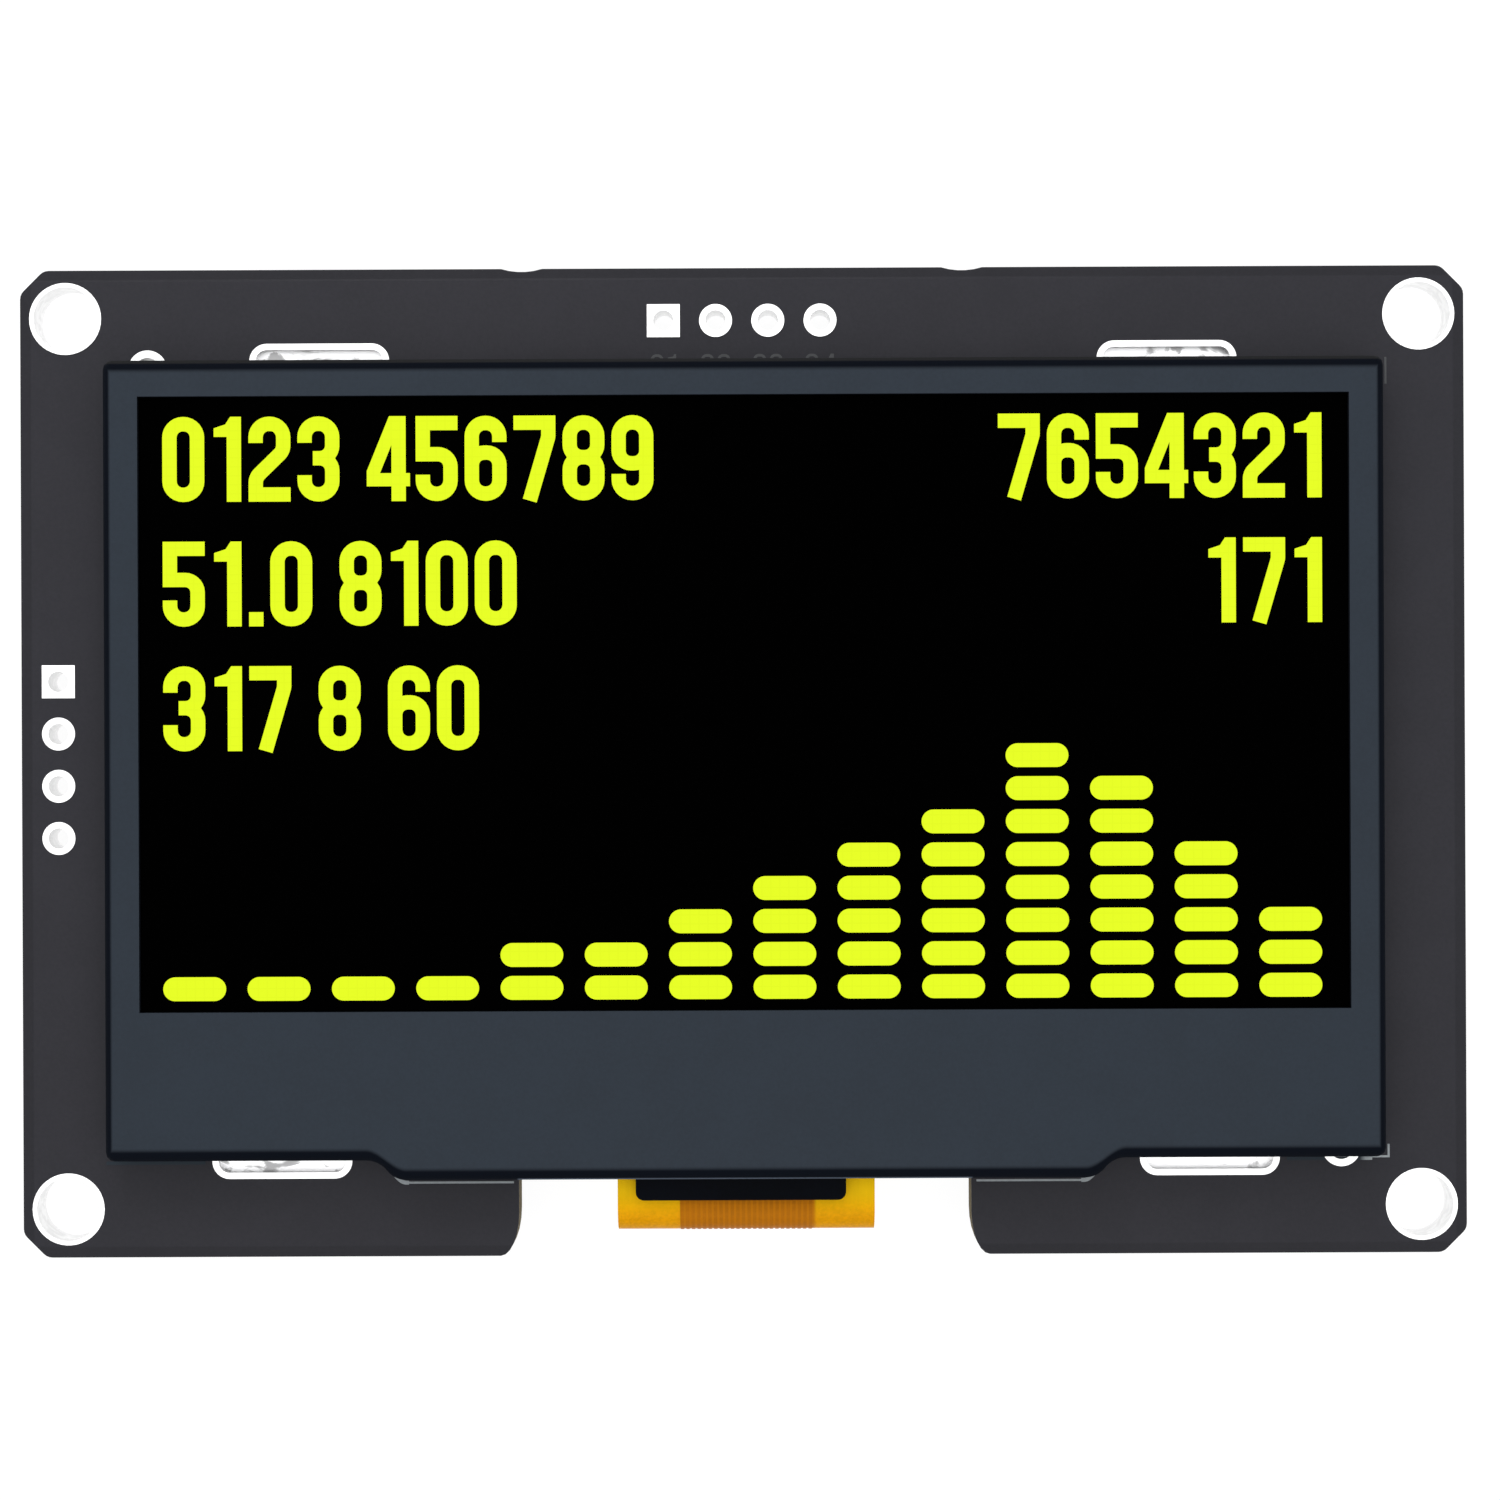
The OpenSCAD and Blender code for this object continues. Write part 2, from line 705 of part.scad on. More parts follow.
module mounting_tape() {
    color([0.9, 0.9, 0.86])
        translate([panel_x - cap_w / 2 + tape_inset, cap_foot_y + tape_inset, tape_z])
            cube([cap_w - 2 * tape_inset, cap_h - 2 * tape_inset, tape_t]);
}

module encapsulation_glass() {
    color([0.55, 0.6, 0.62])
        translate([panel_x, cap_y, cap_z])
            difference() {
                translate([-cap_w / 2, -cap_h / 2, 0])
                    cube([cap_w, cap_h, cap_t]);
                translate([-hollow_w / 2, -hollow_h / 2, cap_t - cap_hollow])
                    cube([hollow_w, hollow_h, cap_hollow + SHAPE_MARGIN]);
            }
}

module desiccant_sheet() {
    color([0.93, 0.93, 0.9])
        translate([panel_x - sheet_w / 2, cap_y - sheet_h / 2, seal_z - cap_hollow])
            cube([sheet_w, sheet_h, desiccant_t]);
}

module edge_seal() {
    color([0.8, 0.78, 0.6])
        translate([panel_x, cap_y, seal_z])
            linear_extrude(seal_t)
                difference() {
                    square([cap_w, cap_h], center = true);
                    square([hollow_w, hollow_h], center = true);
                }
}

module organic_layer() {
    color([0.3, 0.3, 0.34])
        translate([panel_x - sheet_w / 2, cap_y - sheet_h / 2, glass_z - organic_t])
            cube([sheet_w, sheet_h, organic_t]);
}

module display_glass() {
    color([0.35, 0.4, 0.42])
        translate([panel_x - glass_w / 2, glass_foot_y, glass_z])
            cube([glass_w, glass_h, glass_t]);
}

module polarizer() {
    w = window_w + 2 * polarizer_lap;
    h = window_h + 2 * polarizer_lap;
    color([0.01, 0.01, 0.012])
        translate([panel_x - w / 2, window_y - h / 2, polarizer_z])
            cube([w, h, polarizer_t]);
}

// One lit segment: a bar with round ends
module segment() {
    r = segment_h / 2;
    linear_extrude(segment_t)
        union() {
            square([segment_w - 2 * r, segment_h], center = true);
            for (x = [-1, 1])
                translate([x * (segment_w / 2 - r), 0])
                    circle(r = r);
        }
}

module lit_segments() {
    last = len(segment_counts) - 1;
    first_x = panel_x - segment_shift - window_w / 2 + segment_inset + segment_w / 2;
    column_pitch = (window_w - 2 * segment_inset - segment_w) / last;
    foot = window_y - window_h / 2 + row_rise;
    color([0.9, 1, 0.16])
        for (column = [0 : last])
            for (row = [0 : segment_counts[column] - 1])
                translate([first_x + column * column_pitch, foot + row * row_pitch, face_z])
                    segment();
}

// ---- Flex and driver ----

// A layer on the film's outer face, or the film itself: flat from the glass side, round the fold, and
// flat again along the board's back. in and out are its two faces, outwards from the film's outer face.
module fold_layer(w, from_y, to_y, in, out) {
    union() {
        translate([-w / 2, fold_y, film_top_z + in])
            cube([w, from_y - fold_y, out - in]);
        translate([0, fold_y, fold_z])
            rotate([0, 90, 0])
                rotate([0, 0, 180])
                    rotate_extrude(angle = 180, $fn = 96)
                        translate([fold_r + in, -w / 2])
                            square([out - in, w]);
        translate([-w / 2, fold_y, film_under_z - out])
            cube([w, to_y - fold_y, out - in]);
    }
}

module flex_film() {
    color([0.85, 0.6, 0.07])
        translate([panel_x, 0, 0])
            fold_layer(film_w, glass_foot_y + film_bond, film_end_y, -film_t, 0);
}

module flex_traces() {
    trace_w = trace_pitch * trace_w_share;
    start_y = resin_y - resin_l / 2;
    finger_y = film_end_y - finger_l;
    color([0.62, 0.36, 0.07])
        translate([panel_x, 0, 0])
            for (i = [0 : contact_count - 1]) {
                offset = i - (contact_count - 1) / 2;
                union() {
                    translate([offset * trace_pitch, 0, 0])
                        fold_layer(trace_w, start_y, fan_start_y, 0, trace_t);
                    translate([0, 0, film_under_z - trace_t])
                        linear_extrude(trace_t)
                            polygon([
                                [offset * trace_pitch - trace_w / 2, fan_start_y],
                                [offset * trace_pitch + trace_w / 2, fan_start_y],
                                [offset * contact_pitch + trace_w / 2, fan_y],
                                [offset * contact_pitch + trace_w / 2, finger_y],
                                [offset * contact_pitch - trace_w / 2, finger_y],
                                [offset * contact_pitch - trace_w / 2, fan_y],
                            ]);
                }
            }
}

module at_contacts() {
    for (i = [0 : contact_count - 1])
        translate([panel_x + (i - (contact_count - 1) / 2) * contact_pitch, 0, 0])
            children();
}

module flex_fingers() {
    w = contact_pitch * finger_w_share;
    color([0.8, 0.8, 0.78])
        at_contacts()
            translate([-w / 2, film_end_y - finger_l, film_under_z - trace_t])
                cube([w, finger_l, trace_t]);
}

module driver_die() {
    color([0.45, 0.47, 0.5])
        translate([panel_x - resin_shift - die_l / 2, resin_y - die_w / 2, film_top_z])
            cube([die_l, die_w, die_t]);
}

module driver_resin() {
    color([0.05, 0.06, 0.07])
        translate([panel_x - resin_shift, resin_y, film_top_z])
            difference() {
                linear_extrude(resin_t)
                    rounded_rect(resin_w, resin_l, resin_r);
                translate([-die_l / 2, -die_w / 2, -SHAPE_MARGIN])
                    cube([die_l, die_w, die_t + SHAPE_MARGIN]);
            }
}

module flex_lands() {
    w = contact_pitch * finger_w_share;
    color([0.86, 0.87, 0.88])
        at_contacts()
            translate([-w / 2, film_end_y - finger_l, -plating_t])
                cube([w, finger_l + land_past, plating_t]);
}

// A small wedge of solder at each contact, from the film's end down to its land
module flex_solder() {
    w = contact_pitch * finger_w_share;
    toe = land_past - contact_margin;
    color([0.72, 0.74, 0.76])
        at_contacts()
            translate([-w / 2, film_end_y, -plating_t])
                rotate([90, 0, 90])
                    linear_extrude(w)
                        polygon([[0, 0], [0, -film_t - trace_t], [toe, 0]]);
}

// ---- Parts on the back ----

module moulded_body(size) {
    middle = (size[2] - standoff) / 2;
    waist = [size[0], size[1]];
    end = [size[0] - 2 * body_draft, size[1] - 2 * body_draft];
    translate([0, 0, standoff])
        union() {
            frustum(end, waist, middle);
            translate([0, 0, middle])
                frustum(waist, end, middle);
        }
}

// A gull-wing lead that leaves a body's side at mid height and ends in a flat foot, along +X
module gull_lead(body_half, reach, height, w, foot) {
    shelf = (height + standoff) / 2 - lead_t / 2;
    knee = (body_half + reach - foot) / 2;
    rotate([90, 0, 0])
        linear_extrude(w, center = true)
            polygon([
                [reach, 0], [reach, lead_t], [reach - foot + lead_t / 2, lead_t],
                [knee + lead_t / 2, shelf + lead_t], [body_half, shelf + lead_t],
                [body_half, shelf], [knee - lead_t / 2, shelf], [reach - foot - lead_t / 2, 0],
            ]);
}

// Where the leads of each package stand: [turn, offset along the side]
converter_leads_at = [for (turn = [90, -90], o = [-1 : 1]) [turn, o * package_pitch]];
regulator_leads_at = [[90, -package_pitch], [90, package_pitch], [-90, 0]];
diode_leads_at = [[0, 0], [180, 0]];

module at_leads(leads) {
    for (l = leads)
        rotate([0, 0, l[0]])
            translate([0, l[1], 0])
                children();
}

module package_lead(size, span) {
    gull_lead(size[1] / 2, span / 2, size[2], package_lead_w, package_foot);
}

module converter_body() {
    color([0.07, 0.07, 0.08])
        on_back(converter_place)
            moulded_body(converter);
}

module converter_leads() {
    color([0.8, 0.8, 0.8])
        on_back(converter_place)
            at_leads(converter_leads_at)
                package_lead(converter, converter_span);
}

module regulator_body() {
    color([0.07, 0.07, 0.08])
        on_back(regulator_place)
            moulded_body(regulator);
}

module regulator_leads() {
    color([0.8, 0.8, 0.8])
        on_back(regulator_place)
            at_leads(regulator_leads_at)
                package_lead(regulator, regulator_span);
}

module diode_body() {
    color([0.07, 0.07, 0.08])
        on_back(diode_place)
            moulded_body(diode);
}

module diode_leads() {
    color([0.8, 0.8, 0.8])
        on_back(diode_place)
            at_leads(diode_leads_at)
                gull_lead(diode[0] / 2, diode_span / 2, diode[2], diode_lead_w, diode_foot);
}

// The two flanges of the drum are round with two flats, and the hub between them carries the wire
module inductor_core() {
    core_t = inductor_t - clip_t;
    flange_w = inductor_d - 2 * flange_cut;
    color([0.2, 0.2, 0.21])
        on_back(inductor_place)
            union() {
                for (z = [clip_t, inductor_t - flange_t])
                    translate([0, 0, z])
                        linear_extrude(flange_t)
                            intersection() {
                                circle(d = inductor_d);
                                square([inductor_d, flange_w], center = true);
                            }
                translate([0, 0, clip_t])
                    cylinder(d = hub_d, h = core_t);
            }
}

// Each layer's turns show as ribs round the winding
module inductor_winding() {
    room = inductor_t - clip_t - 2 * flange_t;
    turns = floor(room / wire_d);
    winding_d = inductor_d - 2 * winding_inset;
    color([0.72, 0.36, 0.16])
        on_back(inductor_place)
            rotate_extrude()
                union() {
                    translate([hub_d / 2, clip_t + flange_t])
                        square([(winding_d - hub_d - wire_d) / 2, room]);
                    for (i = [0 : turns - 1])
                        translate([
                            (winding_d - wire_d) / 2,
                            clip_t + flange_t + (i + 0.5) * room / turns
                        ])
                            circle(d = wire_d);
                }
}

module inductor_terminals() {
    color([0.8, 0.8, 0.8])
        on_back(inductor_place)
            for (side = [-1, 1])
                translate([side * (inductor_d / 2 - clip_l / 2) - clip_l / 2, -clip_w / 2, 0])
                    cube([clip_l, clip_w, clip_t]);
}

// The two ends of a chip part
module chip_ends(l, w, t, end) {
    for (side = [-1, 1])
        translate([side * (l - end) / 2 - end / 2, -w / 2, 0])
            cube([end, w, t]);
}

module chip_middle(l, w, end, from, to) {
    translate([-l / 2 + end, -w / 2, from])
        cube([l - 2 * end, w, to - from]);
}

module capacitor_bodies() {
    color([0.6, 0.47, 0.33])
        for (place = capacitor_places)
            on_back(place)
                chip_middle(capacitor_l, capacitor_w, capacitor_end, 0, capacitor_t);
}

module capacitor_terminals() {
    color([0.8, 0.8, 0.8])
        for (place = capacitor_places)
            on_back(place)
                chip_ends(capacitor_l, capacitor_w, capacitor_t, capacitor_end);
}

module resistor_bodies() {
    color([0.9, 0.9, 0.88])
        for (place = resistor_places)
            on_back(place)
                chip_middle(resistor_l, resistor_w, resistor_end, 0, resistor_t - resistor_coat_t);
}

module resistor_coats() {
    color([0.06, 0.06, 0.07])
        for (place = resistor_places)
            on_back(place)
                chip_middle(
                    resistor_l, resistor_w, resistor_end, resistor_t - resistor_coat_t, resistor_t
                );
}

module resistor_terminals() {
    color([0.8, 0.8, 0.8])
        for (place = resistor_places)
            on_back(place)
                chip_ends(resistor_l, resistor_w, resistor_t, resistor_end);
}

// One land under a foot that runs from x = near to x = far, and shows round it
module land(near, far, w) {
    translate([near - land_heel, -w / 2 - land_side, -plating_t])
        cube([far - near + land_heel + land_toe, w + 2 * land_side, plating_t]);
}

// A wedge of solder at the outer end of a foot or terminal at x = far
module toe_solder(far, w, rise) {
    translate([far, 0, 0])
        rotate([90, 0, 0])
            linear_extrude(w, center = true)
                polygon([[0, 0], [solder_toe, 0], [0, rise]]);
}

// Stands its children at both ends of a chip part, with +X pointing outwards
module at_both_ends() {
    for (turn = [0, 180])
        rotate([0, 0, turn])
            children();
}

module component_lands() {
    color([0.86, 0.87, 0.88])
        union() {
            for (place = capacitor_places)
                on_back(place)
                    at_both_ends()
                        land(capacitor_l / 2 - capacitor_end, capacitor_l / 2, capacitor_w);
            for (place = resistor_places)
                on_back(place)
                    at_both_ends()
                        land(resistor_l / 2 - resistor_end, resistor_l / 2, resistor_w);
            on_back(converter_place)
                at_leads(converter_leads_at)
                    land(converter_span / 2 - package_foot, converter_span / 2, package_lead_w);
            on_back(regulator_place)
                at_leads(regulator_leads_at)
                    land(regulator_span / 2 - package_foot, regulator_span / 2, package_lead_w);
            on_back(diode_place)
                at_leads(diode_leads_at)
                    land(diode_span / 2 - diode_foot, diode_span / 2, diode_lead_w);
            on_back(inductor_place)
                at_both_ends()
                    land(inductor_d / 2 - clip_l, inductor_d / 2, clip_w);
        }
}

module component_solder() {
    color([0.72, 0.74, 0.76])
        union() {
            for (place = capacitor_places)
                on_back(place)
                    at_both_ends()
                        toe_solder(capacitor_l / 2, capacitor_w, capacitor_t * chip_wetting);
            for (place = resistor_places)
                on_back(place)
                    at_both_ends()
                        toe_solder(resistor_l / 2, resistor_w, resistor_t * chip_wetting);
            on_back(converter_place)
                at_leads(converter_leads_at)
                    toe_solder(converter_span / 2, package_lead_w, lead_t);
            on_back(regulator_place)
                at_leads(regulator_leads_at)
                    toe_solder(regulator_span / 2, package_lead_w, lead_t);
            on_back(diode_place)
                at_leads(diode_leads_at)
                    toe_solder(diode_span / 2, diode_lead_w, lead_t);
            on_back(inductor_place)
                at_both_ends()
                    toe_solder(inductor_d / 2, clip_w, clip_t);
        }
}

printed_circuit_board();
mounting_hole_rings();
header_pads_top();
header_pads_left();
frame_slot_lands();
locating_hole_lands();
display_bezel();
lug_solder();
mounting_tape();
encapsulation_glass();
desiccant_sheet();
edge_seal();
organic_layer();
display_glass();
polarizer();
lit_segments();
flex_film();
flex_traces();
flex_fingers();
driver_die();
driver_resin();
flex_lands();
flex_solder();
inductor_core();
inductor_winding();
inductor_terminals();
converter_body();
converter_leads();
regulator_body();
regulator_leads();
diode_body();
diode_leads();
capacitor_bodies();
capacitor_terminals();
resistor_bodies();
resistor_coats();
resistor_terminals();
component_lands();
component_solder();
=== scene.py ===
"""Finishes, printed marks, lit numbers, floor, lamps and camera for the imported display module.

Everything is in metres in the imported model's frame: +X to the right and +Y up as the display is
read, +Z towards the viewer, and z = 0 on the back face of the carrier board.
"""

import json
import logging
import math
from dataclasses import dataclass, field
from enum import Enum
from functools import cached_property

import bpy
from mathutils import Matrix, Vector


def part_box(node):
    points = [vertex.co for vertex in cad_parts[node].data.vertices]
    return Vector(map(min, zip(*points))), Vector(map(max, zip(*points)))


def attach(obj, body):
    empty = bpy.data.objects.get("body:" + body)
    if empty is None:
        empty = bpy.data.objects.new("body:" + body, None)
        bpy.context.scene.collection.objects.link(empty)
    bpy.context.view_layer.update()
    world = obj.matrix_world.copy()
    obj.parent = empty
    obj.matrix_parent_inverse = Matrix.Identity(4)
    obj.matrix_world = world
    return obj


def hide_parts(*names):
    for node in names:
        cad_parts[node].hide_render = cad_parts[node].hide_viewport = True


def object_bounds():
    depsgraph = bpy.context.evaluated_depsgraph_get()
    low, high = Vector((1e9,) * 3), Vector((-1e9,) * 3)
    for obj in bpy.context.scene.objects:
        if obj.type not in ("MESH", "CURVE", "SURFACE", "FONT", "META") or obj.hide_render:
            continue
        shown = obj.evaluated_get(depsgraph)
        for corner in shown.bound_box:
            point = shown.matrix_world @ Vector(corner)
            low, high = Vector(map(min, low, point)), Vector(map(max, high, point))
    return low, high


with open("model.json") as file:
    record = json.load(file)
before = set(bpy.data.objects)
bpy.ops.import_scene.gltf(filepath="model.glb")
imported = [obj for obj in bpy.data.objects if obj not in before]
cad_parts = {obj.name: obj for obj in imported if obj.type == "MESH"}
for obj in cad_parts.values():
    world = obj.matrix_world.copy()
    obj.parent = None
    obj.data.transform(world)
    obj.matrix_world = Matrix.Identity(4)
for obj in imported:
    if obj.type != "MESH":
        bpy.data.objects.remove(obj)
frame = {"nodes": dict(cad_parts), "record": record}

CAD_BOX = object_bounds()
MM = 0.001
BODY = "root"
BEZEL_HEAD, BEZEL_FOOT, TONGUE_FOOT = 19.3 * MM, -19.0 * MM, -19.95 * MM
TONGUE_HALF, SHOULDER = 16.2 * MM, 1.95 * MM
Point = tuple[float, float]
Triple = tuple[float, float, float]
Colour = Triple
WHITE: Colour = (1.0, 1.0, 1.0)
Outline = list[Vector]
Box = tuple[Vector, Vector]
Socket = bpy.types.NodeSocket
Sockets = dict[str, bpy.types.NodeSocket]

log = logging.getLogger("display_module")


# ---- Shader wiring ----


def rgba(colour: Colour, gain: float = 1.0) -> tuple[float, float, float, float]:
    """Gives a colour, lighter or darker by gain, in the form that a socket takes."""
    return (colour[0] * gain, colour[1] * gain, colour[2] * gain, 1.0)


def by_name(sockets: object) -> Sockets:
    """Gives a node's sockets by name."""
    return {socket.name: socket for socket in sockets if socket.name}


class Wiring:
    """Adds shader nodes to one tree and joins them. A value is a plain one or a socket to join."""

    def __init__(self, tree: bpy.types.NodeTree) -> None:
        """Starts on an emptied tree."""
        self.tree = tree
        tree.nodes.clear()

    def add(self, kind: str, inputs: dict | None = None, **settings: object) -> bpy.types.Node:
        """Adds one node.

        Args:
            kind: the node's type without its "ShaderNode" start.
            inputs: values for its sockets, by name or number.
            settings: properties of the node.

        Returns:
            The new node.
        """
        node = self.tree.nodes.new("ShaderNode" + kind)
        for name, value in settings.items():
            setattr(node, name, value)
        for key, value in (inputs or {}).items():
            self.feed(node.inputs[key], value)
        return node

    def feed(self, socket: Socket, value: object) -> None:
        """Joins a socket to another, or gives it a plain value.

        Args:
            socket: the socket that takes it.
            value: the other socket or the plain value.
        """
        if isinstance(value, Socket):
            self.tree.links.new(value, socket)
        else:
            socket.default_value = value

    def math(self, operation: str, a: object, b: object = 0.0, clamp: bool = False) -> Socket:
        """Joins two values by a sum, product or other operation."""
        return self.add("Math", {0: a, 1: b}, operation=operation, use_clamp=clamp).outputs[0]

    def span(
        self, value: object, low: float, high: float, at_low: float = 0.0, at_high: float = 1.0
    ) -> Socket:
        """Turns a value's range from low to high, smoothly and clamped, into another range."""
        sockets = {"Value": value, "From Min": low, "From Max": high, "To Min": at_low, "To Max": at_high}
        return self.add("MapRange", sockets, interpolation_type="SMOOTHSTEP").outputs[0]

    def blend(self, share: object, first: object, second: object) -> Socket:
        """Mixes two colours.

        Args:
            share: how much of the second there is, from 0 to 1.
            first: the first colour.
            second: the second colour.

        Returns:
            The mixed colour.
        """
        node = self.add("Mix", data_type="RGBA")
        for index, value in ((0, share), (6, first), (7, second)):
            self.feed(node.inputs[index], value)
        return node.outputs[2]

    def group(self, effect: "Effect", inputs: dict) -> Sockets:
        """Places one shared effect.

        Args:
            effect: which effect.
            inputs: values for its inputs, by name.

        Returns:
            Its outputs, by name.
        """
        node = self.add("Group")
        node.node_tree = effect.tree()
        for key, value in inputs.items():
            self.feed(node.inputs[key], value)
        return by_name(node.outputs)


class Effect(Enum):
    """Effects that several finishes share: each one's group name, inputs and outputs."""

    GRAIN = ("fine_grain", ("Vector", "Scale", "Coarse"), ("Tone", "Height"))
    MOTTLE = ("uneven_metal", ("Vector", "Scale"), ("Cloud", "Lumps"))
    WALLS = ("side_walls", ("Normal",), ("Mask",))
    BAND = ("height_band", ("Value", "From", "To", "Fade"), ("Mask",))
    # The bezel rim effect masks where painted shade darkens the bezel's rim.
    RIM = ("bezel_rim_shade", ("Vector", "Full", "Gone", "Share"), ("Mask",))

    def tree(self) -> bpy.types.NodeTree:
        """Gives the effect's node group, and builds it the first time.

        Returns:
            The group.
        """
        made = bpy.data.node_groups.get(self.value[0])
        if not made:
            group = EffectGroup(*self.value)
            builders = {
                Effect.GRAIN: group.grain,
                Effect.MOTTLE: group.mottle,
                Effect.WALLS: group.walls,
                Effect.BAND: group.band,
                Effect.RIM: group.rim,
            }
            builders[self]()
            made = group.tree
        return made


class EffectGroup(Wiring):
    """The node group of one shared effect, with its sockets as seen from inside."""

    fine_share: float = 0.6
    grain_span: Point = (0.32, 0.68)
    cell_size: float = 2.2
    cell_share: float = 0.5
    cloud_span: Point = (0.35, 0.65)
    upright_span: Point = (0.005, 0.15)

    def __init__(self, name: str, inputs: tuple[str, ...], outputs: tuple[str, ...]) -> None:
        """Makes the group and its sockets.

        Args:
            name: the group's name.
            inputs: its input sockets' names.
            outputs: its output values' names.
        """
        super().__init__(bpy.data.node_groups.new(name, "ShaderNodeTree"))
        for label in inputs:
            kind = "NodeSocketVector" if label in ("Vector", "Normal") else "NodeSocketFloat"
            self.tree.interface.new_socket(label, in_out="INPUT", socket_type=kind)
        for label in outputs:
            self.tree.interface.new_socket(label, in_out="OUTPUT", socket_type="NodeSocketFloat")
        self.into = by_name(self.tree.nodes.new("NodeGroupInput").outputs)
        self.out = by_name(self.tree.nodes.new("NodeGroupOutput").inputs)

    def grain(self) -> None:
        """Builds fine grain: a fine noise carried by a coarse one."""
        place = self.into["Vector"]
        fine = self.add("TexNoise", {"Vector": place, "Scale": self.into["Scale"], "Detail": 3.0})
        broad = self.add("TexNoise", {"Vector": place, "Scale": self.into["Coarse"], "Detail": 2.0})
        fine_part = self.math("MULTIPLY", fine.outputs[0], self.fine_share)
        broad_part = self.math("MULTIPLY", broad.outputs[0], 1 - self.fine_share)
        self.feed(self.out["Tone"], self.span(self.math("ADD", fine_part, broad_part), *self.grain_span))
        self.feed(self.out["Height"], fine.outputs[0])

    def mottle(self) -> None:
        """Builds the cloudy, slightly lumpy skin of tin that has flowed and set."""
        place, scale = self.into["Vector"], self.into["Scale"]
        look = {"Vector": place, "Scale": scale, "Detail": 4.0, "Distortion": 0.8}
        cloud = self.add("TexNoise", look).outputs[0]
        size = self.math("MULTIPLY", scale, self.cell_size)
        cells = self.add("TexVoronoi", {"Vector": place, "Scale": size}, feature="SMOOTH_F1")
        lumps = self.math("MULTIPLY", cells.outputs["Distance"], self.cell_share)
        self.feed(self.out["Cloud"], self.span(cloud, *self.cloud_span))
        self.feed(self.out["Lumps"], self.math("ADD", lumps, cloud))

    def walls(self) -> None:
        """Builds a mask that is 1 on what stands upright and 0 on what lies flat."""
        parts = self.add("SeparateXYZ", {0: self.into["Normal"]})
        upright = self.math("SUBTRACT", 1.0, self.math("ABSOLUTE", parts.outputs["Z"]))
        self.feed(self.out["Mask"], self.span(upright, *self.upright_span))

    def band(self) -> None:
        """Builds a mask that is 1 between two values and fades to 0 outside them."""
        value, fade = self.into["Value"], self.into["Fade"]
        past_low = self.math("SUBTRACT", value, self.into["From"])
        under_high = self.math("SUBTRACT", self.into["To"], value)
        both = [self.math("DIVIDE", way, fade, clamp=True) for way in (past_low, under_high)]
        self.feed(self.out["Mask"], self.math("MULTIPLY", *both))

    def rim(self) -> None:
        """Builds the mask of the painted shade on the bezel's dark rim, from how far each point lies in
        from the outline with its tongue.
        """
        x, y = self.add("SeparateXYZ", {0: self.into["Vector"]}).outputs[:2]
        low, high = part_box("display_bezel")
        aside = self.math("ABSOLUTE", self.math("SUBTRACT", x, (low.x + high.x) / 2))
        side = self.math("SUBTRACT", (high.x - low.x) / 2, aside)
        head = self.math("SUBTRACT", BEZEL_HEAD, y)
        line = self.span(aside, TONGUE_HALF, TONGUE_HALF + SHOULDER, TONGUE_FOOT, BEZEL_FOOT)
        foot = self.math("SUBTRACT", y, line)
        # Head and foot distances are scaled down so that the painted shade reaches further in there.
        upright = self.math("MULTIPLY", self.math("MINIMUM", head, foot), self.into["Share"])
        inwards = self.math("MINIMUM", side, upright)
        self.feed(self.out["Mask"], self.span(inwards, self.into["Full"], self.into["Gone"], 1.0, 0.0))


# ---- Finishes ----


class Surface(Wiring):
    """One material as it is dressed: its shader, and the place and grain that its finish reads."""

    def __init__(self, material: bpy.types.Material, finish: "Finish") -> None:
        """Empties a material and adds its shader and coordinates.

        Args:
            material: the material.
            finish: the finish whose plain values the shader gets.
        """
        super().__init__(material.node_tree)
        self.finish = finish
        self.shader = self.add(
            "BsdfPrincipled",
            {
                "Base Color": rgba(finish.colour),
                "Roughness": finish.roughness,
                "Metallic": finish.metallic,
                "Specular IOR Level": finish.specular,
                "Coat Weight": finish.coat,
            },
        )
        place = self.add("TexCoord")
        self.point, self.normal = place.outputs["Object"], place.outputs["Normal"]
        self.add("OutputMaterial", {"Surface": self.shader.outputs[0]})

    @cached_property
    def parts(self) -> Sockets:
        """Splits the place into X, Y and Z."""
        return by_name(self.add("SeparateXYZ", {0: self.point}).outputs)

    @cached_property
    def grain(self) -> Sockets:
        """Places the shared grain, which gives Tone and Height."""
        sockets = {"Vector": self.point, "Scale": self.finish.grain, "Coarse": self.finish.coarse}
        return self.group(Effect.GRAIN, sockets)

    @cached_property
    def walls(self) -> Socket:
        """Places the shared mask of upright surfaces."""
        return self.group(Effect.WALLS, {"Normal": self.normal})["Mask"]

    def band(self, value: object, low: float, high: float, fade: float) -> Socket:
        """Places the shared band mask."""
        sockets = {"Value": value, "From": low, "To": high, "Fade": fade}
        return self.group(Effect.BAND, sockets)["Mask"]

    def give(self, socket: str, value: object) -> None:
        """Feeds one of the shader's sockets."""
        self.feed(self.shader.inputs[socket], value)

    def shades(self, share: object, colour: Colour, dark: float, light: float) -> Socket:
        """Gives a colour that goes from darker to lighter with a share of 0 to 1."""
        return self.blend(share, rgba(colour, dark), rgba(colour, light))

    def lift(self, height: object) -> None:
        """Feeds the surface relief from a height of 0 to 1."""
        bump = self.add("Bump", {"Height": height, "Distance": self.finish.relief, "Strength": 1.0})
        self.give("Normal", bump.outputs[0])


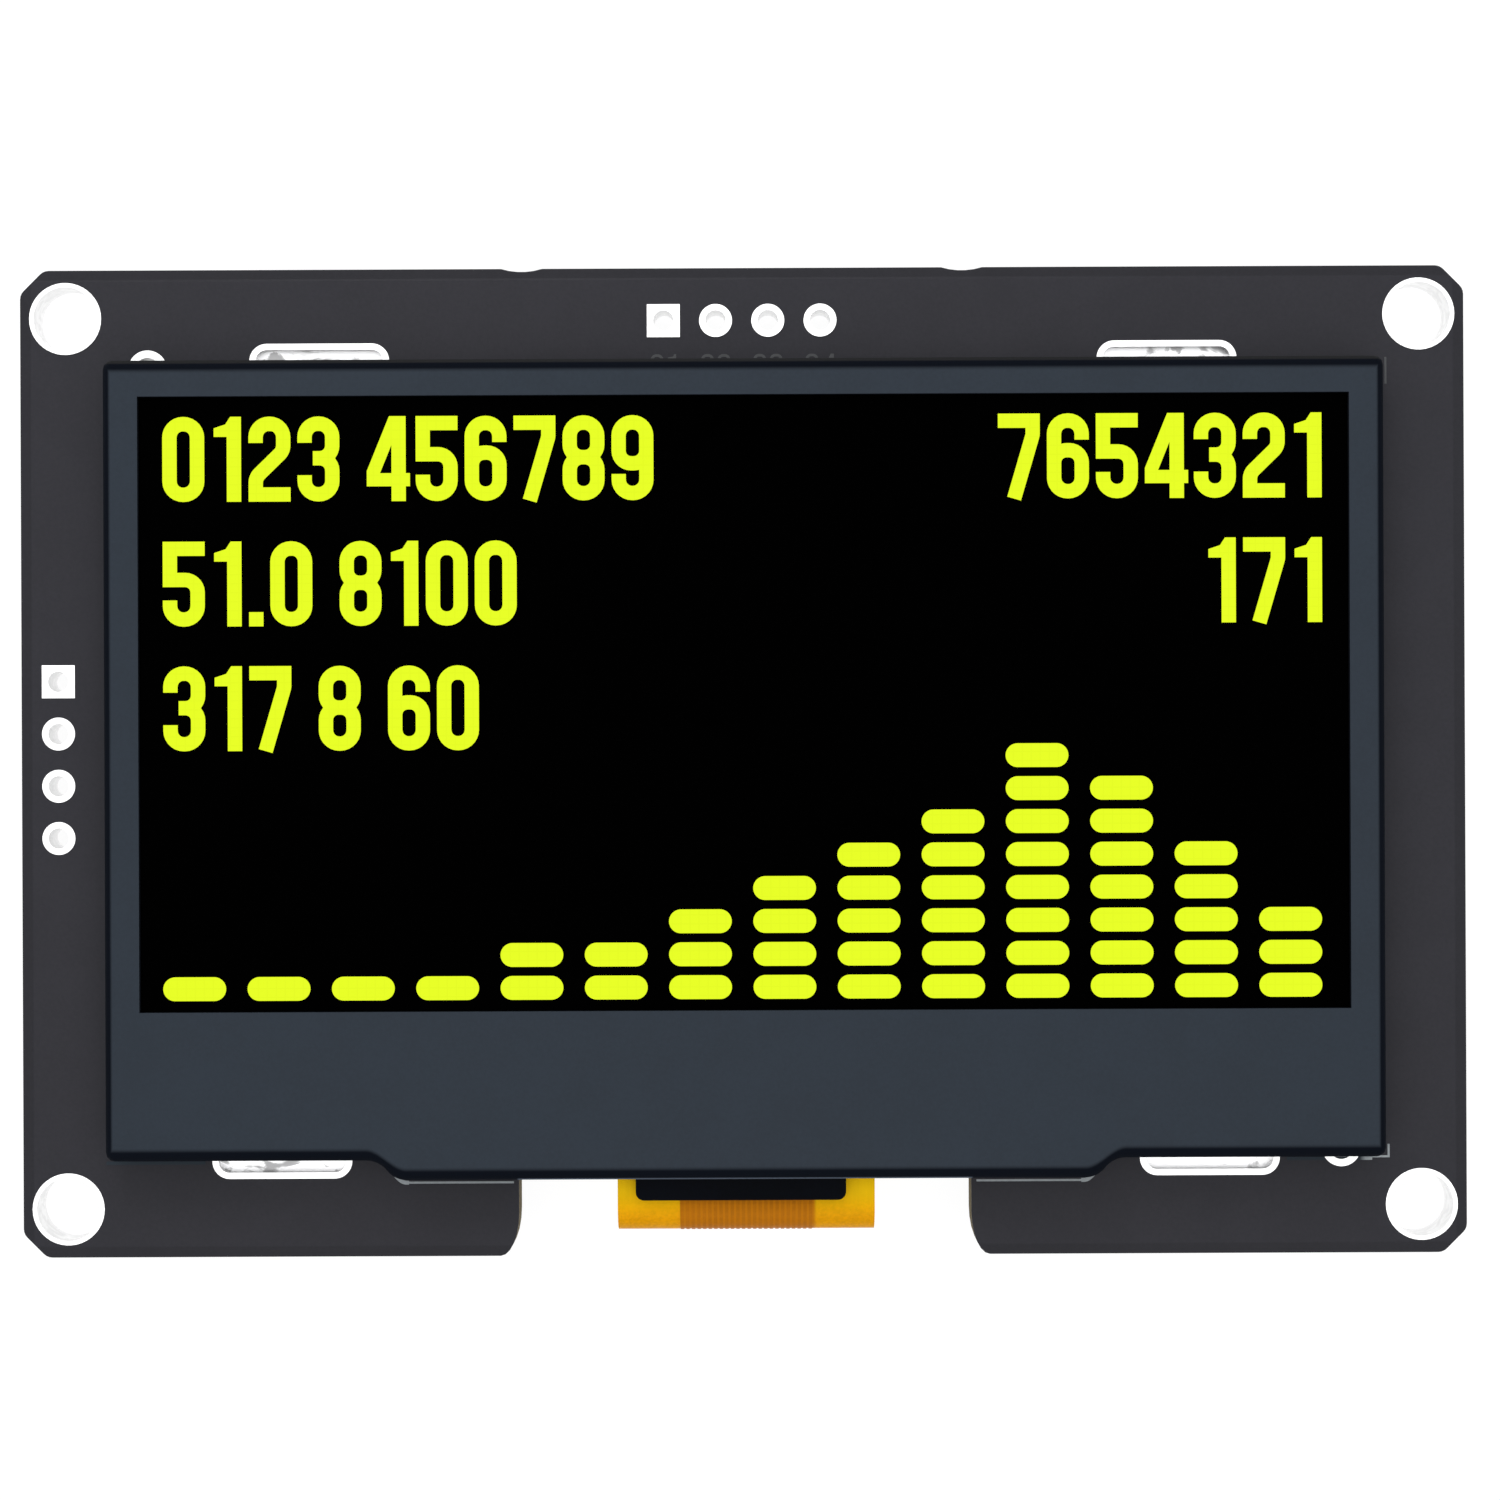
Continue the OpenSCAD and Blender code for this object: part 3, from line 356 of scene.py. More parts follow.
@dataclass(frozen=True)
class Finish:
    """A solid finish with fine grain in its colour, gloss and surface."""

    slot: str
    colour: Colour
    roughness: float
    metallic: float = 0.0
    specular: float = 0.5
    coat: float = 0.0
    grain: float = 6000.0
    coarse: float = 400.0
    tone: float = 0.12
    gloss_change: float = 0.08
    relief: float = 2e-6

    def material(self) -> bpy.types.Material:
        """Builds the material.

        Returns:
            The material, named after the slot.
        """
        made = bpy.data.materials.new(self.slot)
        made.use_nodes = True
        made.diffuse_color = rgba(self.colour)
        self.dress(Surface(made, self))
        return made

    def dress(self, surface: Surface) -> None:
        """Feeds the shader from the grain.

        Args:
            surface: the material.
        """
        tone = surface.grain["Tone"]
        surface.give("Base Color", self.grained(surface))
        surface.give("Roughness", self.toned(surface, tone))
        surface.lift(surface.grain["Height"])

    def grained(self, surface: Surface) -> Socket:
        """Gives the finish's own colour, a little uneven with the grain."""
        return surface.shades(surface.grain["Tone"], self.colour, 1 - self.tone, 1 + self.tone)

    def toned(self, surface: Surface, tone: Socket) -> Socket:
        """Gives a roughness that changes a little with a tone."""
        low, high = self.roughness - self.gloss_change, self.roughness + self.gloss_change
        return surface.span(tone, 0.0, 1.0, low, high)


@dataclass(frozen=True)
class SolderMask(Finish):
    """Black mask over copper on both faces, and bare glass-fibre laminate on the routed edges."""

    over_laminate: Point = (0.75, 0.85)
    over_copper: Point = (0.94, 1.08)
    copper_step: float = 4.0
    margin: float = 0.45 * MM
    margin_fade: float = 0.1 * MM
    raised: Colour = (0.048, 0.045, 0.045)
    raised_by: float = 0.006 * MM
    laminate: Colour = (0.2, 0.165, 0.09)
    layers: Point = (0.65, 1.25)
    layer_scale: float = 2600.0
    layer_stretch: Triple = (0.18, 0.18, 5.0)
    fibre_span: Point = (0.35, 0.65)
    cut_roughness: float = 0.8
    mask_depth: float = 0.05 * MM
    mask_fade: float = 0.01 * MM

    def dress(self, surface: Surface) -> None:
        """Feeds mask, copper edge and laminate.

        Args:
            surface: the board's material.
        """
        low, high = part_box("printed_circuit_board")
        x, y, z = surface.parts.values()
        in_x = surface.band(x, low.x + self.margin, high.x - self.margin, self.margin_fade)
        in_y = surface.band(y, low.y + self.margin, high.y - self.margin, self.margin_fade)
        copper = surface.math("MULTIPLY", in_x, in_y)
        dark, light = (
            surface.shades(copper, self.colour, *both) for both in zip(self.over_laminate, self.over_copper)
        )
        mask = surface.blend(surface.grain["Tone"], dark, light)
        mask = surface.blend(surface.math("LESS_THAN", z, -self.raised_by), mask, rgba(self.raised))
        drawn = surface.add("Mapping", {"Vector": surface.point, "Scale": self.layer_stretch})
        sockets = {"Vector": drawn.outputs[0], "Scale": self.layer_scale, "Detail": 4.0}
        fibre = surface.add("TexNoise", sockets)
        share = surface.span(fibre.outputs[0], *self.fibre_span)
        cut = surface.shades(share, self.laminate, *self.layers)
        inner = surface.band(z, low.z + self.mask_depth, high.z - self.mask_depth, self.mask_fade)
        bare = surface.math("MULTIPLY", surface.walls, inner)
        surface.give("Base Color", surface.blend(bare, mask, cut))
        surface.give("Roughness", surface.span(bare, 0.0, 1.0, self.roughness, self.cut_roughness))
        step = surface.math("MULTIPLY", copper, self.copper_step)
        surface.lift(surface.math("ADD", surface.grain["Height"], step))


@dataclass(frozen=True)
class FlowedTin(Finish):
    """Tin or solder that has flowed and set: cloudy gloss, low lumps, and no dark marks at the back."""

    cloud: float = 1600.0
    clear: float = 1.0
    dark: float = 0.7
    marks_from: float = 0.5 * MM
    clear_behind: float = 0.7
    stretch: Triple = (0.6, 1.0, 1.0)
    relief: float = 1.2e-5

    def dress(self, surface: Surface) -> None:
        """Feeds colour, gloss and lumps.

        Args:
            surface: the tin's material.
        """
        drawn = surface.add("Mapping", {"Vector": surface.point, "Scale": self.stretch})
        skin = surface.group(Effect.MOTTLE, {"Vector": drawn.outputs[0], "Scale": self.cloud})
        behind = surface.span(surface.parts["Z"], 0.0, self.marks_from, self.clear_behind, 0.0)
        cloud = surface.math("MAXIMUM", surface.span(skin["Cloud"], 0.0, self.clear), behind)
        surface.give("Base Color", surface.shades(cloud, self.colour, self.dark, 1.0))
        surface.give("Roughness", self.toned(surface, cloud))
        surface.lift(skin["Lumps"])


@dataclass(frozen=True)
class BezelPaint(Finish):
    """Satin paint on stamped steel, bare and tinned where the lugs are soldered, with painted shade round
    the bend and a painted reflection along the tongue's foot.
    """

    # Painted shade: the rim and upright walls round the bend get a near-black colour in place of their
    # shade and the shadow at their foot; the full, gone and ends settings set how far in it reaches.
    fold_shade_colour: Colour = (0.001, 0.0022, 0.0052)
    fold_full: float = 0.27 * MM
    fold_gone: float = 0.44 * MM
    fold_roughness: float = 0.9
    ends_share: float = 0.64
    # Painted reflection: a lighter bluish band along the tongue's foot over the notch, in place of the
    # white background reflected in the lower edge.
    lip_reflection_colour: Colour = (0.085, 0.105, 0.14)
    lip: float = 0.12 * MM
    lip_half: float = 10.9 * MM
    lip_fade: float = 0.1 * MM
    # The painted shade is lighter along the head, where more light falls on the rim.
    head_rim_shade_colour: Colour = (0.013, 0.0135, 0.0145)
    bend: float = 0.2 * MM
    bend_fade: float = 0.04 * MM
    tinned: Colour = (0.62, 0.62, 0.6)
    paint_foot: float = 1.6 * MM
    paint_fade: float = 0.1 * MM
    ragged: float = 0.4 * MM

    def dress(self, surface: Surface) -> None:
        """Feeds paint, fold and bare metal.

        Args:
            surface: the bezel's material.
        """
        x, y, z = surface.parts.values()
        tone, height = surface.grain["Tone"], surface.grain["Height"]
        reach = {"Vector": surface.point, "Full": self.fold_full, "Gone": self.fold_gone}
        # Painted shade: near-black over the rim and walls, lighter at the head.
        rim = surface.group(Effect.RIM, {**reach, "Share": self.ends_share})
        fold = surface.math("MAXIMUM", rim["Mask"], surface.walls)
        bend_y = BEZEL_HEAD - self.bend
        at_head = surface.span(y, bend_y - self.bend_fade, bend_y + self.bend_fade)
        rim_shade_colour = surface.blend(at_head, rgba(self.fold_shade_colour), rgba(self.head_rim_shade_colour))
        dark = surface.blend(fold, self.grained(surface), rim_shade_colour)
        # Painted reflection along the tongue's foot over the notch.
        over_notch = surface.band(x, -self.lip_half, self.lip_half, self.lip_fade)
        at_foot = surface.span(y, TONGUE_FOOT + self.lip, TONGUE_FOOT + self.lip / 2)
        paint = surface.blend(surface.math("MULTIPLY", over_notch, at_foot), dark, rgba(self.lip_reflection_colour))
        ragged = surface.math("ADD", z, surface.math("MULTIPLY", height, self.ragged))
        bare = surface.span(ragged, self.paint_foot, self.paint_foot + self.paint_fade, 1.0, 0.0)
        surface.give("Base Color", surface.blend(bare, paint, rgba(self.tinned)))
        surface.give("Metallic", bare)
        dull = surface.math("MULTIPLY", fold, self.fold_roughness)
        surface.give("Roughness", surface.math("MAXIMUM", self.toned(surface, tone), dull))
        surface.lift(height)


@dataclass(frozen=True)
class ClearGlass(Finish):
    """Float glass with scribed, frosted edges."""

    edge_roughness: float = 0.45
    edge_clear: float = 0.7
    ior: float = 1.52

    def dress(self, surface: Surface) -> None:
        """Feeds the frosted edge, and makes the rest clear.

        Args:
            surface: the glass's material.
        """
        surface.give("Transmission Weight", 1.0)
        surface.give("IOR", self.ior)
        frost = surface.span(surface.grain["Tone"], 0.0, 1.0, self.edge_clear, 1.0)
        edge = surface.math("MULTIPLY", surface.walls, frost)
        surface.give("Roughness", surface.span(edge, 0.0, 1.0, self.roughness, self.edge_roughness))
        surface.lift(surface.math("MULTIPLY", edge, surface.grain["Height"]))


@dataclass(frozen=True)
class LitPixels(Finish):
    """Light from the panel's dots, with the dark lines between the dots barely showing."""

    light: Colour = (0.812, 1.0, 0.021)
    dot_pitch: float = 0.43 * MM
    line_from: float = 0.8
    line_depth: float = 0.035
    grain_share: float = 0.3

    def dress(self, surface: Surface) -> None:
        """Feeds the emission.

        Args:
            surface: the lit dots' material.
        """
        lines = []
        for axis in ("X", "Y"):
            turn = surface.math("MULTIPLY", surface.parts[axis], 2 * math.pi / self.dot_pitch)
            lines.append(surface.span(surface.math("COSINE", turn), self.line_from, 1.0))
        uneven = surface.math("MULTIPLY", surface.grain["Tone"], self.grain_share)
        shade = surface.math("MAXIMUM", surface.math("MAXIMUM", *lines), uneven)
        surface.give("Emission Color", surface.shades(shade, self.light, 1.0, 1 - self.line_depth))
        surface.give("Emission Strength", 1.0)
        surface.lift(surface.grain["Height"])


@dataclass(frozen=True)
class FlexFilm(Finish):
    """Amber polyimide with fine streaks from rolling, and painted shade that makes it deeper where the film
    turns over at the fold.
    """

    # Painted shade: the deeper fold colour fills a band near the film's foot, where it turns over.
    fold_shade_colour: Colour = (0.82, 0.36, 0.001)
    fold: Point = (0.6 * MM, 2.2 * MM)
    copper_colour: Colour = (0.57, 0.2, 0.004)
    traces: Point = (-3.2 * MM, 3.45 * MM)
    trace_fade: float = 0.15 * MM
    front: Point = (1.2 * MM, 1.7 * MM)
    streak_scale: float = 700.0
    streak_stretch: Triple = (6.0, 0.3, 1.0)
    streak_shades: Point = (0.92, 1.08)
    streak_span: Point = (0.3, 0.7)
    streak_gloss: float = 0.06
    fold_shades: Point = (0.9, 1.1)

    def dress(self, surface: Surface) -> None:
        """Feeds the streaks, the painted shade that deepens the colour near the fold, and the copper that
        shines through.

        Args:
            surface: the film's material.
        """
        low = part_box("flex_film")[0]
        x, y, z = surface.parts.values()
        drawn = surface.add("Mapping", {"Vector": surface.point, "Scale": self.streak_stretch})
        sockets = {"Vector": drawn.outputs[0], "Scale": self.streak_scale, "Detail": 3.0}
        streaks = surface.add("TexNoise", sockets).outputs[0]
        # Painted shade near the fold.
        fold_shade_share = surface.span(y, low.y + self.fold[0], low.y + self.fold[1], 1.0, 0.0)
        plain = surface.shades(streaks, self.colour, *self.streak_shades)
        fold = surface.shades(surface.grain["Tone"], self.fold_shade_colour, *self.fold_shades)
        film = surface.blend(fold_shade_share, plain, fold)
        across = surface.band(x, *self.traces, self.trace_fade)
        through = surface.math("MULTIPLY", across, surface.span(z, *self.front))
        surface.give("Base Color", surface.blend(through, film, rgba(self.copper_colour)))
        dull, glossy = self.roughness + self.streak_gloss, self.roughness - self.streak_gloss
        surface.give("Roughness", surface.span(streaks, *self.streak_span, glossy, dull))
        surface.lift(surface.grain["Height"])


@dataclass(frozen=True)
class PottingResin(Finish):
    """Black resin with a painted highlight: a lighter line where it meets the glass ledge."""

    # Painted highlight: the lighter line continues the light that the bezel's lower edge reflects.
    highlight_line_colour: Colour = (0.1, 0.11, 0.135)
    line_width: float = 0.14 * MM
    line_y: float = -19.98 * MM
    line_fade: float = 0.06 * MM
    shade: Point = (0.8, 1.3)
    gloss: Point = (0.3, 0.45)

    def dress(self, surface: Surface) -> None:
        """Feeds resin and the painted highlight line.

        Args:
            surface: the resin's material.
        """
        tone, half = surface.grain["Tone"], self.line_width / 2
        line = surface.band(surface.parts["Y"], self.line_y - half, self.line_y + half, self.line_fade)
        plain = surface.shades(tone, self.colour, *self.shade)
        surface.give("Base Color", surface.blend(line, plain, rgba(self.highlight_line_colour)))
        surface.give("Roughness", surface.span(tone, 0.0, 1.0, *self.gloss))
        surface.lift(surface.grain["Height"])


@dataclass(frozen=True)
class PrintedInk(Finish):
    """White ink, which is darkened along the bezel on the board's front: to a faint bluish painted
    highlight line at the foot, and to a dim grey at the head.
    """

    # Painted highlight: along the bezel's foot the ink takes a faint bluish colour close to the board's,
    # standing in for the edge highlight there; at the head it is only dimmed to grey.
    foot_highlight_colour: Colour = (0.022, 0.031, 0.041)
    dimmed_head_colour: Colour = (0.075, 0.078, 0.082)
    head: Point = (17.5 * MM, 17.7 * MM)
    foot: Point = (-19.7 * MM, -19.2 * MM)
    foot_fade: float = 0.02 * MM
    foot_span: Point = (-32.0 * MM, 30.2 * MM)
    span_fade: float = 0.3 * MM
    front: Point = (0.5 * MM, 1.0 * MM)

    def dress(self, surface: Surface) -> None:
        """Feeds the ink, and the darkened ink along the bezel.

        Args:
            surface: the ink's material.
        """
        x, y, z = surface.parts.values()
        at_head = surface.span(y, *self.head)
        at_foot = surface.band(y, *self.foot, self.foot_fade)
        inner = surface.band(x, *self.foot_span, self.span_fade)
        ends = surface.math("MAXIMUM", at_head, surface.math("MULTIPLY", at_foot, inner))
        # Where the ink runs along the bezel it gets the painted highlight at the foot and the dim grey at
        # the head.
        toned = surface.math("MULTIPLY", ends, surface.span(z, *self.front))
        faint = surface.blend(at_head, rgba(self.foot_highlight_colour), rgba(self.dimmed_head_colour))
        surface.give("Base Color", surface.blend(toned, self.grained(surface), faint))
        surface.lift(surface.grain["Height"])


@dataclass(frozen=True)
class EnamelledWire(Finish):
    """Copper wire under clear brown enamel, with drawing lines along it."""

    shade: Point = (0.75, 1.2)
    rings: float = 9000.0
    ring_wander: float = 2.0

    def dress(self, surface: Surface) -> None:
        """Feeds tone and drawing lines.

        Args:
            surface: the wire's material.
        """
        tone = surface.grain["Tone"]
        surface.give("Base Color", surface.shades(tone, self.colour, *self.shade))
        surface.give("Roughness", self.toned(surface, tone))
        sockets = {"Vector": surface.point, "Scale": self.rings, "Distortion": self.ring_wander}
        rings = surface.add("TexWave", sockets)
        surface.lift(surface.math("ADD", surface.grain["Height"], rings.outputs["Fac"]))


FINISHES = [
    SolderMask("solder_mask", (0.0255, 0.0253, 0.031), 0.42, specular=0.105, relief=4e-6),
    FlowedTin("tinned_copper", (0.95, 0.95, 0.95), 0.42, metallic=1.0, dark=0.86),
    BezelPaint("bezel_paint", (0.0245, 0.0325, 0.044), 0.4, specular=0.08, tone=0.06, relief=1.5e-6),
    FlowedTin("solder", (0.98, 0.98, 0.99), 0.42, 1.0, cloud=900.0, dark=0.3, clear=0.25, relief=4e-6),
    Finish("adhesive_tape", (0.8, 0.8, 0.75), 0.85, grain=9000.0, relief=1e-5, tone=0.08),
    ClearGlass("glass", (0.86, 0.93, 0.9), 0.03, grain=9000.0, relief=8e-6),
    Finish("desiccant", (0.85, 0.85, 0.82), 0.9, grain=12000.0, relief=1e-5, tone=0.05),
    Finish("seal_resin", (0.7, 0.66, 0.5), 0.35, coat=0.3, tone=0.1),
    Finish("organic_film", (0.3, 0.3, 0.34), 0.2, metallic=1.0, tone=0.06),
    Finish("polarizer_film", (0.0002,) * 3, 0.14, specular=0.001, gloss_change=0.02, relief=3e-7),
    LitPixels("lit_pixels", (0.004, 0.005, 0.001), 0.5, specular=0.0, relief=3e-7),
    FlexFilm("flex_film", (0.98, 0.595, 0.004), 0.35, specular=0.03, relief=1.5e-6),
    Finish("flex_copper", (0.5, 0.165, 0.004), 0.38, specular=0.03, tone=0.08),
    Finish("silicon", (0.16, 0.17, 0.19), 0.12, metallic=0.6, tone=0.04, relief=3e-7),
    PottingResin("black_resin", (0.0015, 0.002, 0.0035), 0.36, specular=0.02, relief=2e-6),
    Finish("package_black", (0.016, 0.016, 0.017), 0.55, grain=14000.0, tone=0.2, relief=6e-6),
    Finish("ferrite", (0.035, 0.034, 0.036), 0.7, grain=12000.0, tone=0.3, relief=1.2e-5),
    EnamelledWire("enamelled_wire", (0.5, 0.15, 0.045), 0.25, metallic=0.9, coat=0.6, relief=2e-6),
    Finish("capacitor_ceramic", (0.32, 0.2, 0.11), 0.5, grain=11000.0, tone=0.1, relief=4e-6),
    Finish("resistor_ceramic", (0.78, 0.78, 0.74), 0.6, grain=11000.0, tone=0.06, relief=4e-6),
    Finish("resistor_glaze", (0.01, 0.01, 0.012), 0.22, coat=0.2, tone=0.15, relief=3e-6),
]


# ---- Making meshes ----


def deselect() -> None:
    """Leaves nothing selected."""
    for item in bpy.context.selected_objects:
        item.select_set(False)


def only(piece: bpy.types.Object) -> None:
    """Selects one object alone and makes it the active one.

    Args:
        piece: the object.
    """
    deselect()
    piece.select_set(True)
    bpy.context.view_layer.objects.active = piece


def tidy_mesh(piece: bpy.types.Object, reach: float = 0.0005 * MM) -> None:
    """Merges doubles and turns all faces outwards.

    Args:
        piece: the mesh object.
        reach: how close two points are before they become one.
    """
    only(piece)
    bpy.ops.object.mode_set(mode="EDIT")
    bpy.ops.mesh.select_all(action="SELECT")
    bpy.ops.mesh.remove_doubles(threshold=reach)
    bpy.ops.mesh.normals_make_consistent(inside=False)
    bpy.ops.object.mode_set(mode="OBJECT")


def pick_faces(piece: bpy.types.Object, way: Vector, least: float = 0.99) -> None:
    """Goes into edit mode with only the faces that look one way selected.

    Args:
        piece: the mesh object.
        way: the direction that the faces look in.
        least: the least cosine between that direction and a face's own.
    """
    only(piece)
    bpy.ops.object.mode_set(mode="EDIT")
    bpy.ops.mesh.select_mode(type="FACE")
    bpy.ops.mesh.select_all(action="DESELECT")
    bpy.ops.object.mode_set(mode="OBJECT")
    for face in piece.data.polygons:
        face.select = face.normal.dot(way) > least
    bpy.ops.object.mode_set(mode="EDIT")


def settle(piece: bpy.types.Object) -> None:
    """Puts a piece's place, turn and size into its mesh."""
    only(piece)
    bpy.ops.object.transform_apply(location=True, rotation=True, scale=True)


def copy_of(model: bpy.types.Object) -> bpy.types.Object:
    """Copies an object, with a mesh of its own.

    Args:
        model: the object to copy.

    Returns:
        The copy, linked to the scene.
    """
    copy = model.copy()
    copy.data = model.data.copy()
    bpy.context.scene.collection.objects.link(copy)
    return copy


def join(pieces: list[bpy.types.Object], name: str) -> bpy.types.Object:
    """Joins pieces into one object.

    Args:
        pieces: what to join.
        name: the joined object's name.

    Returns:
        The joined object.
    """
    only(pieces[0])
    for piece in pieces[1:]:
        piece.select_set(True)
    if len(pieces) > 1:
        bpy.ops.object.join()
    joined = bpy.context.view_layer.objects.active
    joined.name = name
    return joined


class Combination(Enum):
    """How one solid changes another."""

    ADD = "UNION"
    CUT = "DIFFERENCE"


def combine(base: bpy.types.Object, other: bpy.types.Object, way: Combination) -> None:
    """Adds a solid to another or cuts it out of it.

    Args:
        base: the solid that stays.
        other: the solid that is used up.
        way: whether it is added or cut out.
    """
    only(base)
    change = base.modifiers.new("combine", "BOOLEAN")
    change.operation = way.value
    change.solver = "EXACT"
    change.object = other
    bpy.ops.object.modifier_apply(modifier=change.name)
    bpy.data.objects.remove(other)


@dataclass(frozen=True)
class Stroke:
    """A line of one width that runs through corners.

    Each corner is its x, its y and the radius that rounds it, which is 0 where it stays sharp.
    """

    corners: tuple[Triple, ...]
    closed: bool = False
    steps: int = 7
    same: float = 0.001 * MM
    sharpest: float = 0.3

    def centre_line(self) -> Outline:
        """Gives the points along the middle, with the rounded corners drawn out.

        Returns:
            The points, with no two in one place.
        """
        points = []
        count = len(self.corners)
        for i, (x, y, r) in enumerate(self.corners):
            here = Vector((x, y))
            inner = self.closed or 0 < i < count - 1
            if r == 0 or not inner:
                points.append(here)
                continue
            back = (Vector(self.corners[i - 1][:2]) - here).normalized()
            ahead = (Vector(self.corners[(i + 1) % count][:2]) - here).normalized()
            half = back.angle(ahead) / 2
            middle = here + (back + ahead).normalized() * (r / math.sin(half))
            first = here + back * (r / math.tan(half)) - middle
            last = here + ahead * (r / math.tan(half)) - middle
            turn = first.angle_signed(last)
            for step in range(self.steps + 1):
                angle = turn * step / self.steps
                c, s = math.cos(angle), math.sin(-angle)
                points.append(middle + Vector((first.x * c - first.y * s, first.x * s + first.y * c)))
        apart = [p for i, p in enumerate(points) if i == 0 or (p - points[i - 1]).length > self.same]
        if self.closed and (apart[0] - apart[-1]).length <= self.same:
            apart.pop()
        return apart

    def outlines(self, width: float) -> list[Outline]:
        """Gives the closed outlines of the line at one width.

        Args:
            width: the line's width.

        Returns:
            Two outlines for a ring, and one otherwise.
        """
        points = self.centre_line()
        count = len(points)
        sides: list[Outline] = [[], []]
        for i, here in enumerate(points):
            before = points[i - 1] if self.closed or i > 0 else None
            after = points[(i + 1) % count] if self.closed or i < count - 1 else None
            legs = [(a, b) for a, b in ((before, here), (here, after)) if a is not None and b is not None]
            ways = [(b - a).normalized() for a, b in legs]
            across = [Vector((-way.y, way.x)) for way in ways]
            mean = (across[0] + across[-1]).normalized()
            reach = width / 2 / max(self.sharpest, mean.dot(across[0]))
            sides[0].append(here + mean * reach)
            sides[1].append(here - mean * reach)
        if self.closed:
            return sides
        return [sides[0] + sides[1][::-1]]


def flat_solid(name: str, outlines: list[Outline], low: float, high: float) -> bpy.types.Object:
    """Makes a flat solid between two heights.

    Args:
        name: the object's name.
        outlines: its closed outlines; one inside another is a hole.
        low: its lower height.
        high: its upper height.

    Returns:
        The solid, as a mesh.
    """
    curve = bpy.data.curves.new(name, "CURVE")
    curve.dimensions = "2D"
    curve.fill_mode = "BOTH"
    curve.extrude = (high - low) / 2
    for outline in outlines:
        spline = curve.splines.new("POLY")
        spline.points.add(len(outline) - 1)
        for point, place in zip(spline.points, outline):
            point.co = (place.x, place.y, 0.0, 1.0)
        spline.use_cyclic_u = True
    piece = bpy.data.objects.new(name, curve)
    bpy.context.scene.collection.objects.link(piece)
    only(piece)
    bpy.ops.object.convert(target="MESH")
    piece = bpy.context.view_layer.objects.active
    piece.location.z = (high + low) / 2
    settle(piece)
    tidy_mesh(piece)
    return piece


def islands(node: str, steps_per_metre: float = 1e7) -> list[Box]:
    """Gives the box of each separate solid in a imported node.

    Args:
        node: the node's name.
        steps_per_metre: how finely points are told apart.

    Returns:
        Each solid's lowest and highest corner, from left to right.
    """
    mesh = frame["nodes"][node].data
    parent: dict[tuple, tuple] = {}

    def root(key: tuple) -> tuple:
        """Follows a point to the one that stands for its solid.

        Args:
            key: the point's rounded place.

        Returns:
            The other point's.
        """
        while parent[key] != key:
            key = parent[key]
        return key

    keys = [tuple(round(c * steps_per_metre) for c in v.co) for v in mesh.vertices]
    for key in keys:
        parent.setdefault(key, key)
    for face in mesh.polygons:
        first = root(keys[face.vertices[0]])
        for index in face.vertices[1:]:
            parent[root(keys[index])] = first
    boxes: dict[tuple, list[Vector]] = {}
    for vertex, key in zip(mesh.vertices, keys):
        box = boxes.setdefault(root(key), [vertex.co.copy(), vertex.co.copy()])
        box[0] = Vector(map(min, box[0], vertex.co))
        box[1] = Vector(map(max, box[1], vertex.co))
    return sorted(((low, high) for low, high in boxes.values()), key=lambda box: tuple(box[0]))


# ---- Numerals ----


